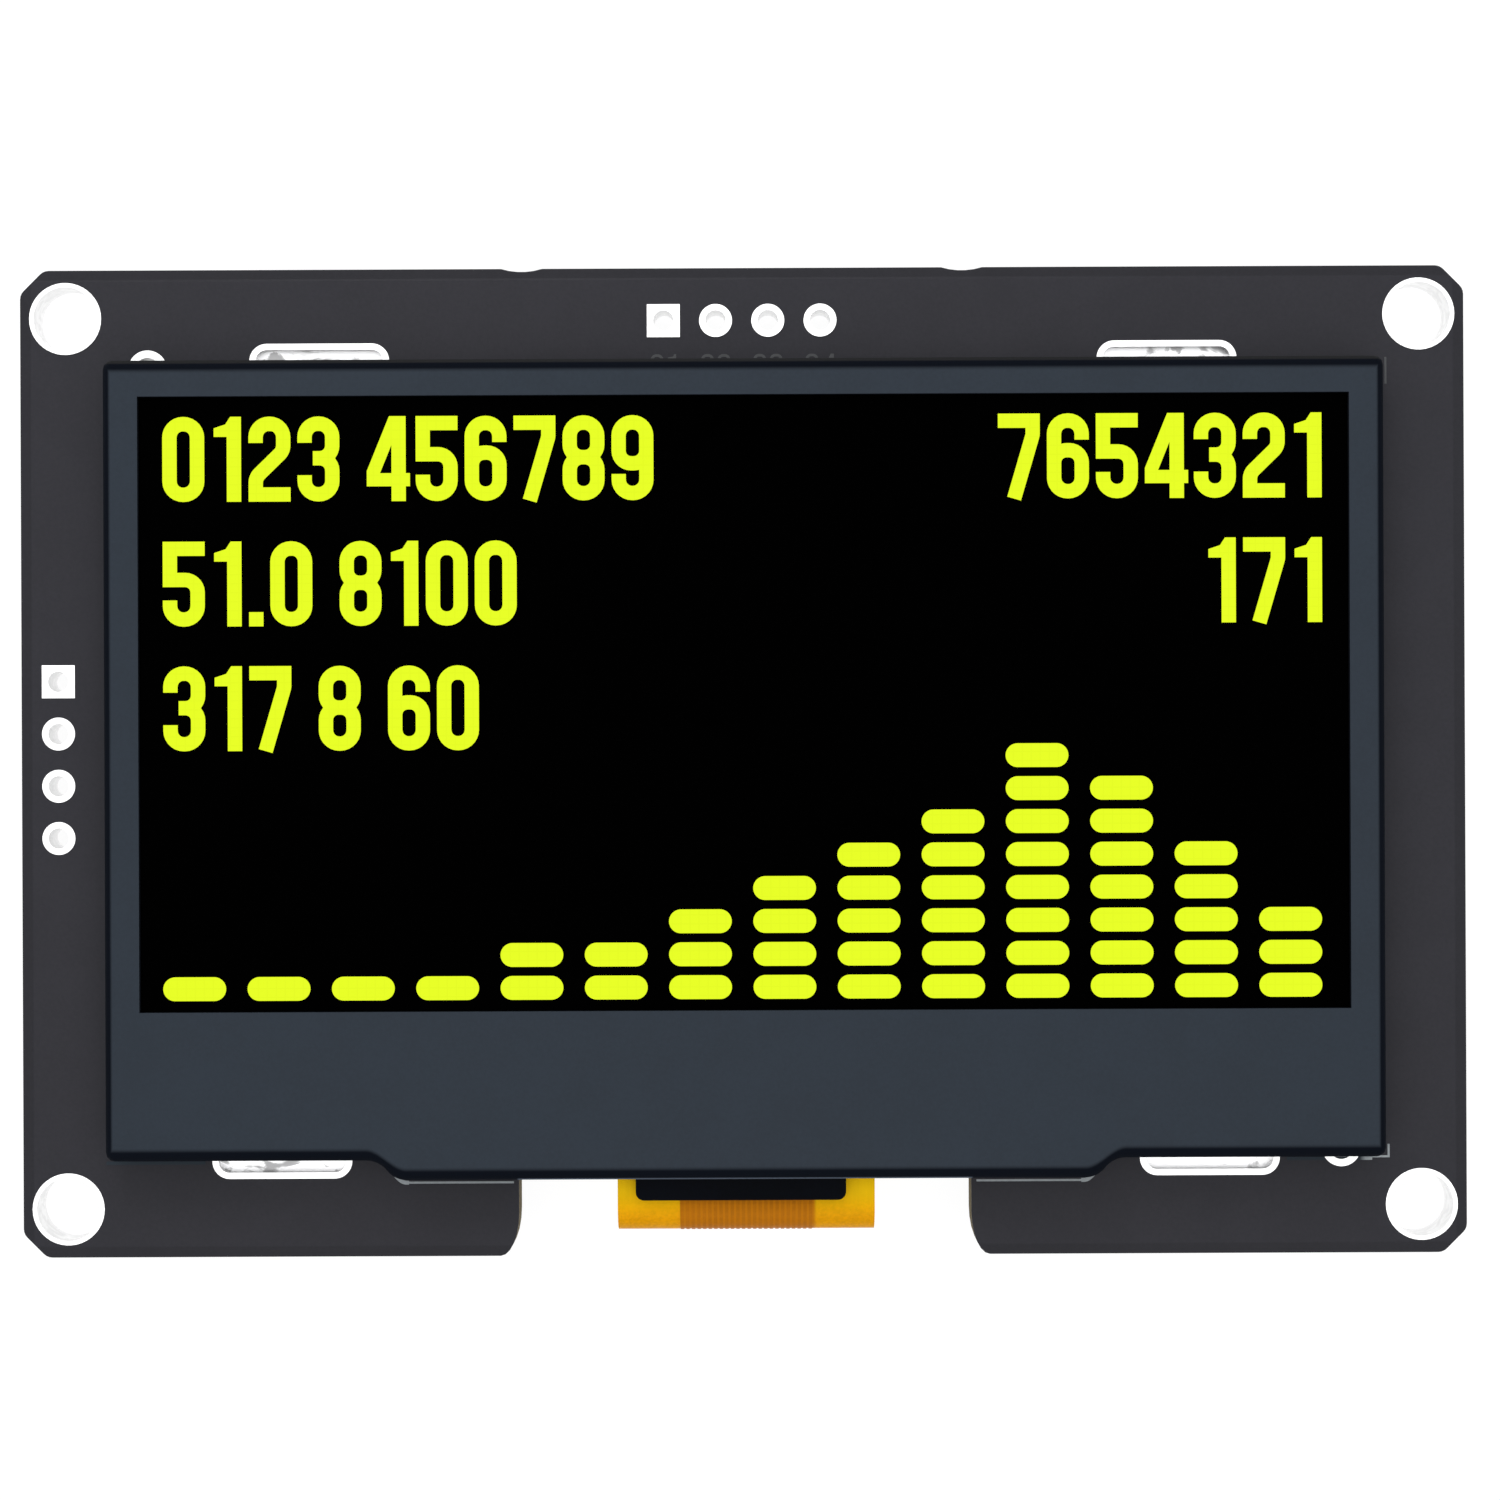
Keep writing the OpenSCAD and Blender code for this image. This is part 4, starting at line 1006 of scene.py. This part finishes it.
@dataclass(frozen=True)
class Numerals:
    """Plain condensed numerals drawn with strokes of one width."""

    height: float = 4.06 * MM
    width: float = 2.0 * MM
    stroke: float = 0.68 * MM
    gap: float = 0.34 * MM
    word_gap: float = 1.31 * MM

    def strokes(self, sign: str) -> list[Stroke]:
        """Gives a numeral's strokes, from the left end of its foot.

        Args:
            sign: a numeral that has strokes, or a point.

        Returns:
            The strokes.
        """
        half = self.stroke / 2
        w, h = self.width - self.stroke, self.height - self.stroke
        bowl, bend = min(w / 2, h * 0.19), min(w * 0.45, h * 0.19)
        low, end = h * 0.51, h * 0.27
        shapes: dict[str, list[tuple[list, bool]]] = {
            "0": [([(0, 0, bowl), (w, 0, bowl), (w, h, bowl), (0, h, bowl)], True)],
            "2": [
                (
                    [
                        (0, h - end, 0), (0, h, bowl), (w, h, bowl), (w, h * 0.62, bend),
                        (0, h * 0.24, bend), (0, 0, 0), (w + half, 0, 0),
                    ],
                    False,
                )
            ],
            "3": [
                ([(0, h - end, 0), (0, h, bowl), (w, h, bowl), (w, low, bend), (w * 0.3, low, 0)], False),
                ([(w * 0.3, low, 0), (w, low, bend), (w, 0, bowl), (0, 0, bowl), (0, end, 0)], False),
            ],
            "5": [
                (
                    [
                        (w + half, h, 0), (0, h, 0), (0, h * 0.56, 0), (w, h * 0.56, bend),
                        (w, 0, bowl), (0, 0, bowl), (0, end, 0),
                    ],
                    False,
                )
            ],
            "6": [
                ([(0, 0, bowl), (w, 0, bowl), (w, h * 0.58, bend), (0, h * 0.58, bend)], True),
                ([(0, bowl, 0), (0, h, bowl), (w, h, bowl), (w, h - end, 0)], False),
            ],
            "7": [([(-half, h, 0), (w, h, 0), (w, h * 0.8, bend), (w * 0.32, -half, 0)], False)],
            "8": [
                ([(0, 0, bowl), (w, 0, bowl), (w, low, bend), (0, low, bend)], True),
                ([(0, low, bend), (w, low, bend), (w, h, bowl), (0, h, bowl)], True),
            ],
            "9": [
                ([(0, h * 0.42, bend), (w, h * 0.42, bend), (w, h, bowl), (0, h, bowl)], True),
                ([(w, h - bowl, 0), (w, 0, bowl), (0, 0, bowl), (0, end, 0)], False),
            ],
            ".": [([(0, -half, 0), (0, half, 0)], False)],
        }
        moved = []
        for corners, closed in shapes[sign]:
            placed = tuple((x + half, y + half, r) for x, y, r in corners)
            moved.append(Stroke(placed, closed))
        return moved

    def cut_outlines(self) -> dict[str, list[list[Point]]]:
        """Gives the outlines of the numerals that are cut from straight edges.

        Returns:
            Each such numeral's outlines; a second one is its hole.
        """
        s, w, h = self.stroke, self.width, self.height
        flag = 0.865 * h
        right = 0.71 * w
        left = right - s
        one = [(left, 0), (right, 0), (right, h), (left + 0.25 * s, h), (left - 0.1 * s, 0.91 * h)]
        one += [(0.06 * w, flag), (0.06 * w, flag - 0.6 * s), (left, flag - 0.6 * s)]
        stem_right, low = 0.93 * w, 0.175 * h
        stem, high = stem_right - s, low + 0.92 * s
        slope = (h - high - 0.15 * s) / (stem - 0.16 * s)
        four = [(stem, 0), (stem_right, 0), (stem_right, low), (1.03 * w, low), (1.03 * w, high)]
        four += [(stem_right, high), (stem_right, h), (stem - 0.16 * s, h)]
        four += [(0, high + 0.15 * s), (0, low), (stem, low)]
        hole = [(stem, high), (0.92 * s, high), (stem, high + slope * (stem - 0.92 * s))]
        return {"1": [one], "4": [four, hole]}

    def advance(self, sign: str) -> float:
        """Gives how far the next numeral starts to the right.

        Args:
            sign: a numeral, a point or a space.

        Returns:
            The distance.
        """
        if sign == " ":
            return self.word_gap - self.gap
        share = {"1": 0.72, ".": 0.34}.get(sign, 1.0)
        return self.width * share + self.gap

    def length(self, text: str) -> float:
        """Gives a text's length."""
        return sum(self.advance(sign) for sign in text) - self.gap

    def solid(self, sign: str, low: float, high: float) -> bpy.types.Object:
        """Models one numeral as a flat solid between two heights.

        Args:
            sign: a numeral or a point.
            low: its lower height.
            high: its upper height.

        Returns:
            The numeral.
        """
        cut = self.cut_outlines().get(sign)
        if cut:
            outlines = [[Vector(point) for point in outline] for outline in cut]
            return flat_solid("numeral", outlines, low, high)
        parts = [flat_solid("numeral", s.outlines(self.stroke), low, high) for s in self.strokes(sign)]
        for other in parts[1:]:
            combine(parts[0], other, Combination.ADD)
        tidy_mesh(parts[0])
        return parts[0]


@dataclass
class NumeralSetter:
    """Sets lines of numerals: each numeral is modelled once, and copied with its own mesh."""

    numerals: Numerals
    low: float
    high: float
    mirrored: bool = False
    masters: dict[str, bpy.types.Object] = field(default_factory=dict)
    placed: list[bpy.types.Object] = field(default_factory=list)

    def set_line(self, text: str, x: float, y: float) -> None:
        """Sets one line.

        Args:
            text: the numerals, points and spaces.
            x: where the line starts.
            y: the height of its foot.
        """
        way = -1 if self.mirrored else 1
        for sign in text:
            if sign != " ":
                if sign not in self.masters:
                    self.masters[sign] = self.numerals.solid(sign, self.low, self.high)
                copy = copy_of(self.masters[sign])
                copy.scale.x = way
                copy.location = (x, y, 0.0)
                settle(copy)
                self.placed.append(copy)
            x += way * self.numerals.advance(sign)

    def finish(self, name: str) -> bpy.types.Object:
        """Joins all lines into one piece and removes the models they were copied from.

        Args:
            name: the piece's name.

        Returns:
            The piece.
        """
        for master in self.masters.values():
            bpy.data.objects.remove(master)
        piece = join(self.placed, name)
        tidy_mesh(piece)
        return piece


# ---- Sub-assemblies ----


class Layer(Enum):
    """What a new piece is made of, by the record's slot. Ink has no slot of its own."""

    LIT = "lit_pixels"
    MASK = "solder_mask"
    PACKAGE = "package_black"
    INK = "marking_ink"


@dataclass
class Dresser:
    """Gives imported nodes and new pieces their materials, and attaches the new pieces."""

    finishes: list[Finish]
    materials: dict[str, bpy.types.Material] = field(default_factory=dict)

    def build(self) -> None:
        """Builds each finish's material once."""
        for finish in self.finishes:
            self.materials[finish.slot] = finish.material()

    def dress_nodes(self) -> None:
        """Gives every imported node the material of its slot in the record."""
        for part in frame["record"]["subparts"]:
            node = frame["nodes"][part["node"]]
            node.data.materials.clear()
            node.data.materials.append(self.materials[part["material_slot"]])
            log.info("%s: %s", part["node"], part["material_slot"])

    def attach(self, piece: bpy.types.Object, layer: Layer) -> None:
        """Dresses a new piece and lets it ride on the module.

        Args:
            piece: the finished mesh.
            layer: what it is made of.
        """
        piece.data.materials.clear()
        piece.data.materials.append(self.materials[layer.value])
        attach(piece, BODY)
        log.info("%s: %d faces", piece.name, len(piece.data.polygons))


@dataclass
class LitReadout:
    """The numbers that the panel shows above its bars."""

    left_lines: tuple[str, ...] = ("0123 456789", "51.0 8100", "317 8 60")
    right_lines: tuple[str, ...] = ("7654321", "171")
    left_margin: float = 1.14 * MM
    right_margin: float = 1.24 * MM
    top_margin: float = 0.95 * MM
    pitch: float = 5.96 * MM
    window_left: float = -28.85 * MM
    window_right: float = 28.95 * MM
    window_top: float = 17.53 * MM

    def build(self, dresser: Dresser) -> None:
        """Sets the lines on the polarizer's face, as thick as the lit bars.

        Args:
            dresser: what dresses and attaches the piece.
        """
        low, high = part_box("lit_segments")
        setter = NumeralSetter(Numerals(), low.z, high.z)
        first = self.window_top - self.top_margin - setter.numerals.height
        for i, text in enumerate(self.left_lines):
            setter.set_line(text, self.window_left + self.left_margin, first - i * self.pitch)
        for i, text in enumerate(self.right_lines):
            start = self.window_right - self.right_margin - setter.numerals.length(text)
            setter.set_line(text, start, first - i * self.pitch)
        dresser.attach(setter.finish("lit_numbers"), Layer.LIT)


@dataclass
class FrontPrint:
    """What shows of the line printed on the board's front round the bezel, and of the pin numbers."""

    line: float = 0.1 * MM
    corner_line: float = 0.19 * MM
    ink: float = 0.02 * MM
    left: float = -31.06 * MM
    right: float = 31.3 * MM
    foot: float = -19.42 * MM
    foot_line: float = 0.16 * MM
    corner_foot: float = -19.33 * MM
    corner_reach: float = 0.8 * MM
    foot_tick: float = 0.6 * MM
    head: float = 19.55 * MM
    head_tick: float = 1.3 * MM
    tongue: float = -20.42 * MM
    notch: float = 11.25 * MM
    tongue_side: float = 16.35 * MM
    turn_reach: float = 0.3 * MM
    turn_radius: float = 0.5 * MM
    shoulder: Point = (17.0 * MM, -20.09 * MM)
    slot_clear: float = 0.35 * MM
    numerals: Numerals = Numerals(1.2 * MM, 0.62 * MM, 0.13 * MM, 0.18 * MM, 0.5 * MM)
    numbers_head: float = 19.82 * MM

    def build(self, dresser: Dresser) -> None:
        """Prints the line in stretches that stop at the slots, and numbers that the bezel half covers.

        Args:
            dresser: what dresses and attaches the piece.
        """
        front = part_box("mounting_tape")[0].z
        lands = [box for box in islands("frame_slot_lands") if box[0].y < 0]
        left_end, right_end = lands[0][0].x - self.slot_clear, lands[-1][1].x + self.slot_clear
        corner = self.right - self.corner_reach
        bend = (self.right, self.corner_foot, 0.0)
        tick_end = (self.right, self.corner_foot + self.foot_tick, 0.0)
        runs = [
            (((left_end, self.foot, 0), (self.left, self.foot, 0)), self.foot_line),
            (((right_end, self.foot, 0), (corner, self.foot, 0)), self.foot_line),
            (((corner, self.corner_foot, 0), bend, tick_end), self.line),
            (((self.right, self.head, 0), (self.right, self.head - self.head_tick, 0)), self.line),
        ]
        top = front + self.ink
        for way in (-1, 1):
            straight = tuple((way * x, self.tongue, 0.0) for x in (self.notch, self.tongue_side))
            turn = (self.tongue_side + self.turn_reach, self.tongue, self.turn_radius)
            curve = ((self.tongue_side, self.tongue, 0.0), turn, (*self.shoulder, 0.0))
            curve = tuple((way * x, y, r) for x, y, r in curve)
            runs += [(straight, self.line), (curve, self.corner_line)]
        solids = [flat_solid("print", Stroke(run).outlines(width), front, top) for run, width in runs]
        setter = NumeralSetter(self.numerals, front, top)
        for i, (low, high) in enumerate(islands("header_pads_top")):
            number = f"0{i + 1}"
            start = (low.x + high.x - self.numerals.length(number)) / 2
            setter.set_line(number, start, self.numbers_head - self.numerals.height)
        dresser.attach(join([*solids, setter.finish("front_numbers")], "front_print"), Layer.INK)


@dataclass
class BackPrint:
    """The white outlines and pin numbers printed on the board's back."""

    line: float = 0.15 * MM
    ink: float = 0.02 * MM
    clear: float = 0.3 * MM
    number_gap: float = 0.5 * MM
    numerals: Numerals = Numerals(1.3 * MM, 0.8 * MM, 0.2 * MM, 0.2 * MM, 0.5 * MM)
    chips: tuple[str, ...] = ("capacitor_bodies", "resistor_bodies")
    packages: tuple[str, ...] = ("inductor_core", "converter_body", "regulator_body", "diode_body")

    def build(self, dresser: Dresser) -> None:
        """Prints side lines at the chips, outlines round the packages, and the pin numbers.

        Args:
            dresser: what dresses and attaches the piece.
        """
        loops = []
        for node in self.chips:
            for low, high in islands(node):
                loops += self.side_lines(low, high)
        for node in self.packages:
            for low, high in islands(node):
                loops.append(self.outline(low, high))
        rows = {}
        for node in ("header_pads_top", "header_pads_left"):
            boxes = islands(node)
            low = Vector(map(min, *[box[0] for box in boxes]))
            high = Vector(map(max, *[box[1] for box in boxes]))
            loops.append(self.outline(low, high))
            rows[node] = boxes
        solids = [flat_solid("print", loop, -self.ink, 0.0) for loop in loops]
        setter = NumeralSetter(self.numerals, -self.ink, 0.0, mirrored=True)
        self.number_pins(setter, rows)
        dresser.attach(join([*solids, setter.finish("pin_numbers")], "back_print"), Layer.INK)

    def number_pins(self, setter: NumeralSetter, rows: dict[str, list[Box]]) -> None:
        """Prints 1 to 4 beside each row of pads.

        Args:
            setter: what sets the numerals.
            rows: the pads' boxes, by row.
        """
        width, height = self.numerals.width, self.numerals.height
        away = self.clear + self.number_gap
        for i, (low, high) in enumerate(rows["header_pads_top"]):
            setter.set_line(str(i + 1), (low.x + high.x) / 2 + width / 2, low.y - away - height)
        downwards = sorted(rows["header_pads_left"], key=lambda box: -box[0].y)
        for i, (low, high) in enumerate(downwards):
            setter.set_line(str(i + 1), high.x + away + width, (low.y + high.y) / 2 - height / 2)

    def side_lines(self, low: Vector, high: Vector) -> list[list[Outline]]:
        """Gives the two lines along a chip part's sides.

        Args:
            low: the part's lowest corner.
            high: its highest corner.

        Returns:
            Each line's outlines.
        """
        middle = (low + high) / 2
        upright = high.y - low.y >= high.x - low.x
        found = []
        for way in (-1, 1):
            if upright:
                x = middle.x + way * ((high.x - low.x) / 2 + self.clear)
                ends = ((x, low.y, 0), (x, high.y, 0))
            else:
                y = middle.y + way * ((high.y - low.y) / 2 + self.clear)
                ends = ((low.x, y, 0), (high.x, y, 0))
            found.append(Stroke(ends).outlines(self.line))
        return found

    def outline(self, low: Vector, high: Vector) -> list[Outline]:
        """Gives a rectangle that stands clear of a box.

        Args:
            low: the box's lowest corner.
            high: its highest corner.

        Returns:
            The outlines of its line.
        """
        left, right = low.x - self.clear, high.x + self.clear
        foot, head = low.y - self.clear, high.y + self.clear
        corners = ((left, foot, 0), (right, foot, 0), (right, head, 0), (left, head, 0))
        return Stroke(corners, closed=True).outlines(self.line)


# Track runs and vias on the back, in millimetres.
SIGNALS: tuple[tuple[Point, ...], ...] = (
    ((-3.81, 20.6), (-3.81, 13.5), (-9.3, 8.0), (-9.3, 3.8)),
    ((-1.27, 20.6), (-1.27, 13.0), (-1.0, 12.73), (-1.0, -3.5), (-2.2, -4.7), (-2.2, -8.2)),
    ((1.27, 20.6), (1.27, 13.0), (3.57, 10.7), (9.2, 10.7), (11.0, 8.9)),
    ((3.81, 20.6), (3.81, 14.5), (5.6, 12.7), (18.0, 12.7), (20.0, 10.7), (20.0, 8.9)),
    ((0.0, -8.2), (0.0, 2.0), (3.0, 5.0), (13.6, 5.0), (14.5, 5.9)),
    ((2.2, -8.2), (2.2, -1.9), (4.9, 0.8), (17.2, 0.8)),
    ((4.4, -8.2), (4.4, -4.0), (7.0, -1.4), (17.2, -1.4)),
    ((-4.4, -8.2), (-4.4, -5.9), (-6.2, -4.1)),
    ((-6.6, -8.2), (-6.6, -6.4), (-10.4, -6.4)),
    ((-32.4, 1.47), (-28.8, 1.47)),
    ((-32.4, -1.07), (-28.8, -1.07)),
    ((-26.4, 1.5), (-25.2, 2.7), (-25.2, 7.5)),
    ((-26.4, -1.1), (-24.6, -2.9), (-24.6, -7.2)),
    ((19.6, 0.8), (23.0, 0.8), (25.0, 2.8), (25.0, 6.0)),
    ((19.6, -1.4), (22.6, -1.4), (25.0, -3.8), (25.0, -7.0)),
)
POWER: tuple[tuple[Point, ...], ...] = (
    ((-14.3, -3.0), (-13.4, -3.0), (-12.7, -2.6)),
    ((-14.4, 3.0), (-11.9, 3.0)),
    ((-18.9, 3.0), (-20.0, 3.0), (-22.0, 1.0), (-22.0, -1.6)),
)
VIAS: tuple[Point, ...] = (
    (-25.2, 7.9), (-24.6, -7.6), (25.0, 6.4), (25.0, -7.4), (-28.5, 10.5), (-28.5, -10.5), (28.5, 11.0),
    (28.5, -11.0), (-18.0, 12.0), (14.0, 16.0), (-9.0, -14.5), (9.4, -14.0), (-22.0, -6.0), (-13.0, 6.0),
)


@dataclass
class MouldedPackages:
    """The moulded packages with the soft edges of their mould, a pin mark and the diode's band."""

    nodes: tuple[str, ...] = ("converter_body", "regulator_body", "diode_body")
    edge: float = 0.06 * MM
    edge_steps: int = 3
    flat_angle: float = math.radians(1)
    smooth_angle: float = math.radians(30)
    dimple: float = 0.16 * MM
    dimple_sides: int = 24
    dimple_in: float = 0.4 * MM
    dimple_depth: float = 0.03 * MM
    band: Point = (0.35 * MM, 0.75 * MM)
    band_in: float = 0.12 * MM
    ink: float = 0.01 * MM

    def build(self, dresser: Dresser) -> None:
        """Puts softened packages in place of the sharp ones, and marks them.

        Args:
            dresser: what dresses and attaches the pieces.
        """
        for node in self.nodes:
            piece = self.softened(node)
            if node == "converter_body":
                self.press_mark(piece)
            dresser.attach(piece, Layer.PACKAGE)
            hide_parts(node)
        low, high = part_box("diode_body")
        near, far = low.x + self.band[0], low.x + self.band[1]
        foot, head = low.y + self.band_in, high.y - self.band_in
        outline = [Vector(corner) for corner in ((near, foot), (far, foot), (far, head), (near, head))]
        dresser.attach(flat_solid("diode_band", [outline], low.z - self.ink, low.z), Layer.INK)

    def softened(self, node: str) -> bpy.types.Object:
        """Makes a package from a copy of its sharp body, merged, cleaned of flat edges and bevelled.

        Args:
            node: the sharp body's node.

        Returns:
            The package.
        """
        piece = copy_of(frame["nodes"][node])
        piece.name = node.replace("body", "package")
        tidy_mesh(piece)
        bpy.ops.object.mode_set(mode="EDIT")
        bpy.ops.mesh.select_all(action="SELECT")
        bpy.ops.mesh.dissolve_limited(angle_limit=self.flat_angle)
        bpy.ops.object.mode_set(mode="OBJECT")
        bevel = piece.modifiers.new("mould_edge", "BEVEL")
        bevel.width = self.edge
        bevel.segments = self.edge_steps
        bevel.limit_method = "ANGLE"
        bpy.ops.object.modifier_apply(modifier=bevel.name)
        bpy.ops.object.shade_smooth_by_angle(angle=self.smooth_angle)
        return piece

    def press_mark(self, piece: bpy.types.Object) -> None:
        """Presses a shallow round dimple beside the first lead.

        Args:
            piece: the converter's package.
        """
        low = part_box("converter_body")[0]
        place = (low.x + self.dimple_in, low.y + self.dimple_in, low.z)
        sides, depth = self.dimple_sides, 2 * self.dimple_depth
        bpy.ops.mesh.primitive_cylinder_add(vertices=sides, radius=self.dimple, depth=depth, location=place)
        punch = bpy.context.view_layer.objects.active
        settle(punch)
        combine(piece, punch, Combination.CUT)


@dataclass
class BackCopper:
    """Tracks and covered vias that stand out under the mask on the board's back."""

    thickness: float = 0.016 * MM
    signal: float = 0.25 * MM
    power: float = 0.6 * MM
    fan: float = 0.13 * MM
    via: float = 0.28 * MM
    via_sides: int = 16
    via_line: float = 0.13 * MM
    via_edge: float = 0.6
    via_sink: float = 0.8
    fan_rows: Point = (1.1 * MM, 1.7 * MM)

    def build(self, dresser: Dresser) -> None:
        """Lays the tracks, and a via at the end of each flex contact's own track.

        Args:
            dresser: what dresses and attaches the piece.
        """
        runs = [(self.placed(run), self.signal) for run in SIGNALS]
        runs += [(self.placed(run), self.power) for run in POWER]
        vias = [(x * MM, y * MM) for x, y in VIAS]
        for i, (low, high) in enumerate(islands("flex_lands")):
            middle, end = (low.x + high.x) / 2, high.y + self.fan_rows[i % 2]
            runs.append((((middle, high.y, 0.0), (middle, end - self.via, 0.0)), self.fan))
            vias.append((middle, end))
        solids = []
        for run, width in runs:
            solids.append(flat_solid("track", Stroke(run).outlines(width), -self.thickness, 0.0))
        master = self.model_via()
        for x, y in vias:
            copy = copy_of(master)
            copy.location = (x, y, 0.0)
            settle(copy)
            solids.append(copy)
        bpy.data.objects.remove(master)
        dresser.attach(join(solids, "back_copper"), Layer.MASK)

    def placed(self, run: tuple[Point, ...]) -> tuple[Triple, ...]:
        """Turns a run of points in millimetres into a stroke's corners."""
        return tuple((x * MM, y * MM, 0.0) for x, y in run)

    def model_via(self) -> bpy.types.Object:
        """Models a via: a round pad with a softened edge, and a dimple where the mask sinks in.

        Returns:
            The via at the origin, to be copied.
        """
        high, sides, out = self.thickness, self.via_sides, Vector((0, 0, -1))
        place = out * high / 2
        bpy.ops.mesh.primitive_cylinder_add(vertices=sides, radius=self.via, depth=high, location=place)
        piece = bpy.context.view_layer.objects.active
        settle(piece)
        pick_faces(piece, out)
        bpy.ops.mesh.bevel(offset=high * self.via_edge, segments=2, affect="EDGES")
        pick_faces(piece, out)
        bpy.ops.mesh.inset(thickness=self.via_line)
        bpy.ops.mesh.extrude_region_move(TRANSFORM_OT_translate={"value": (0, 0, high * self.via_sink)})
        bpy.ops.object.mode_set(mode="OBJECT")
        tidy_mesh(piece)
        return piece


@dataclass(frozen=True)
class Lamp:
    """A square lamp that faces the module. Its level is its face's brightness, where 1 is white."""

    name: str
    place: Triple
    side: float
    level: float

    def hang(self) -> None:
        """Hangs the lamp."""
        lamp = bpy.data.lights.new(self.name, "AREA")
        lamp.shape = "SQUARE"
        lamp.size = self.side
        lamp.energy = self.level * math.pi * self.side * self.side
        holder = bpy.data.objects.new(self.name, lamp)
        bpy.context.scene.collection.objects.link(holder)
        holder.location = self.place
        holder.rotation_euler = (-Vector(self.place)).to_track_quat("-Z", "Y").to_euler()
        holder.visible_camera = False


@dataclass
class Studio:
    """Floor, lamps, world and camera."""

    camera_place: Triple = (0.32 * MM, 0.555 * MM, 128.6 * MM)
    camera_turn: float = -0.235
    lens: float = 62.66
    sensor: float = 36.0
    floor_size: float = 3.0
    floor_gap: float = 0.02 * MM
    floor_grey: float = 0.85
    floor_shade: float = 0.14
    floor_white: float = 0.93
    sky_heights: Point = (-0.1, 0.9)
    sky_levels: Point = (0.1, 0.3)
    lamps: tuple[Lamp, ...] = (
        Lamp("overhead", (0.0, 0.04, 0.5), 1.2, 0.8),
        Lamp("head_side", (-0.03, 0.16, 0.11), 0.12, 4.0),
        Lamp("foot_side", (0.02, -0.2, 0.12), 0.12, 1.8),
        Lamp("under", (0.05, 0.0, -0.4), 0.6, 1.0),
    )

    def build(self) -> None:
        """Sets the whole stage."""
        self.place_floor()
        self.place_world()
        for lamp in self.lamps:
            lamp.hang()
        self.place_camera()

    def seen_directly(self, wire: Wiring, path: bpy.types.Node) -> Socket:
        """Gives a mask of the rays that show the white background: camera, glossy and transmission."""
        seen = wire.math("MAXIMUM", path.outputs["Is Camera Ray"], path.outputs["Is Glossy Ray"])
        return wire.math("MAXIMUM", seen, path.outputs["Is Transmission Ray"])

    def place_floor(self) -> None:
        """Lays the pale floor just under the module's lowest point."""
        level = CAD_BOX[0].z - self.floor_gap
        bpy.ops.mesh.primitive_plane_add(size=self.floor_size, location=(0, 0, level))
        floor = bpy.context.view_layer.objects.active
        floor.name = "floor"
        settle(floor)
        made = bpy.data.materials.new("floor")
        made.use_nodes = True
        wire = Wiring(made.node_tree)
        path = wire.add("LightPath")
        side = wire.add("NewGeometry")
        plain = wire.add("BsdfDiffuse", {"Color": rgba(WHITE, self.floor_grey)})
        shaded = wire.add("BsdfDiffuse", {"Color": rgba(WHITE, self.floor_shade)})
        white = wire.add("Emission", {"Color": rgba(WHITE), "Strength": self.floor_white})
        seen = wire.add("AddShader", {0: shaded.outputs[0], 1: white.outputs[0]})
        direct = self.seen_directly(wire, path)
        solid = wire.add("MixShader", {0: direct, 1: plain.outputs[0], 2: seen.outputs[0]})
        clear = wire.add("BsdfTransparent")
        through = wire.math("MAXIMUM", side.outputs["Backfacing"], path.outputs["Is Shadow Ray"])
        both = wire.add("MixShader", {0: through, 1: solid.outputs[0], 2: clear.outputs[0]})
        wire.add("OutputMaterial", {"Surface": both.outputs[0]})
        floor.data.materials.append(made)

    def place_world(self) -> None:
        """Gives a white surround to look at, and a soft sky that is dimmer towards the horizon."""
        world = bpy.data.worlds.new("studio")
        bpy.context.scene.world = world
        world.use_nodes = True
        wire = Wiring(world.node_tree)
        path = wire.add("LightPath")
        place = wire.add("TexCoord")
        height = wire.add("SeparateXYZ", {0: place.outputs["Generated"]}).outputs["Z"]
        level = wire.span(height, *self.sky_heights, *self.sky_levels)
        sky = wire.add("Background", {"Color": rgba(WHITE), "Strength": level})
        white = wire.add("Background", {"Color": rgba(WHITE), "Strength": 1.0})
        direct = self.seen_directly(wire, path)
        both = wire.add("MixShader", {0: direct, 1: sky.outputs[0], 2: white.outputs[0]})
        wire.add("OutputWorld", {"Surface": both.outputs[0]})

    def place_camera(self) -> None:
        """Sets the camera straight above, looking down."""
        data = bpy.data.cameras.new("camera")
        data.sensor_width = self.sensor
        data.lens = self.lens
        data.clip_start = 1 * MM
        camera = bpy.data.objects.new("camera", data)
        bpy.context.scene.collection.objects.link(camera)
        camera.location = self.camera_place
        camera.rotation_euler = (0.0, 0.0, math.radians(self.camera_turn))
        bpy.context.scene.camera = camera


INK = PrintedInk(Layer.INK.value, (0.34, 0.37, 0.39), 0.6, specular=0.12, tone=0.08, relief=2e-6)


def main() -> None:
    """Builds the scene in order."""
    logging.basicConfig(level=logging.INFO, format="%(message)s")
    bpy.context.scene.view_settings.view_transform = "Standard"
    deselect()
    dresser = Dresser([*FINISHES, INK])
    dresser.build()
    dresser.dress_nodes()
    for sub_assembly in (LitReadout(), FrontPrint(), BackCopper(), BackPrint(), MouldedPackages()):
        sub_assembly.build(dresser)
    Studio().build()


if __name__ == "__main__":
    main()
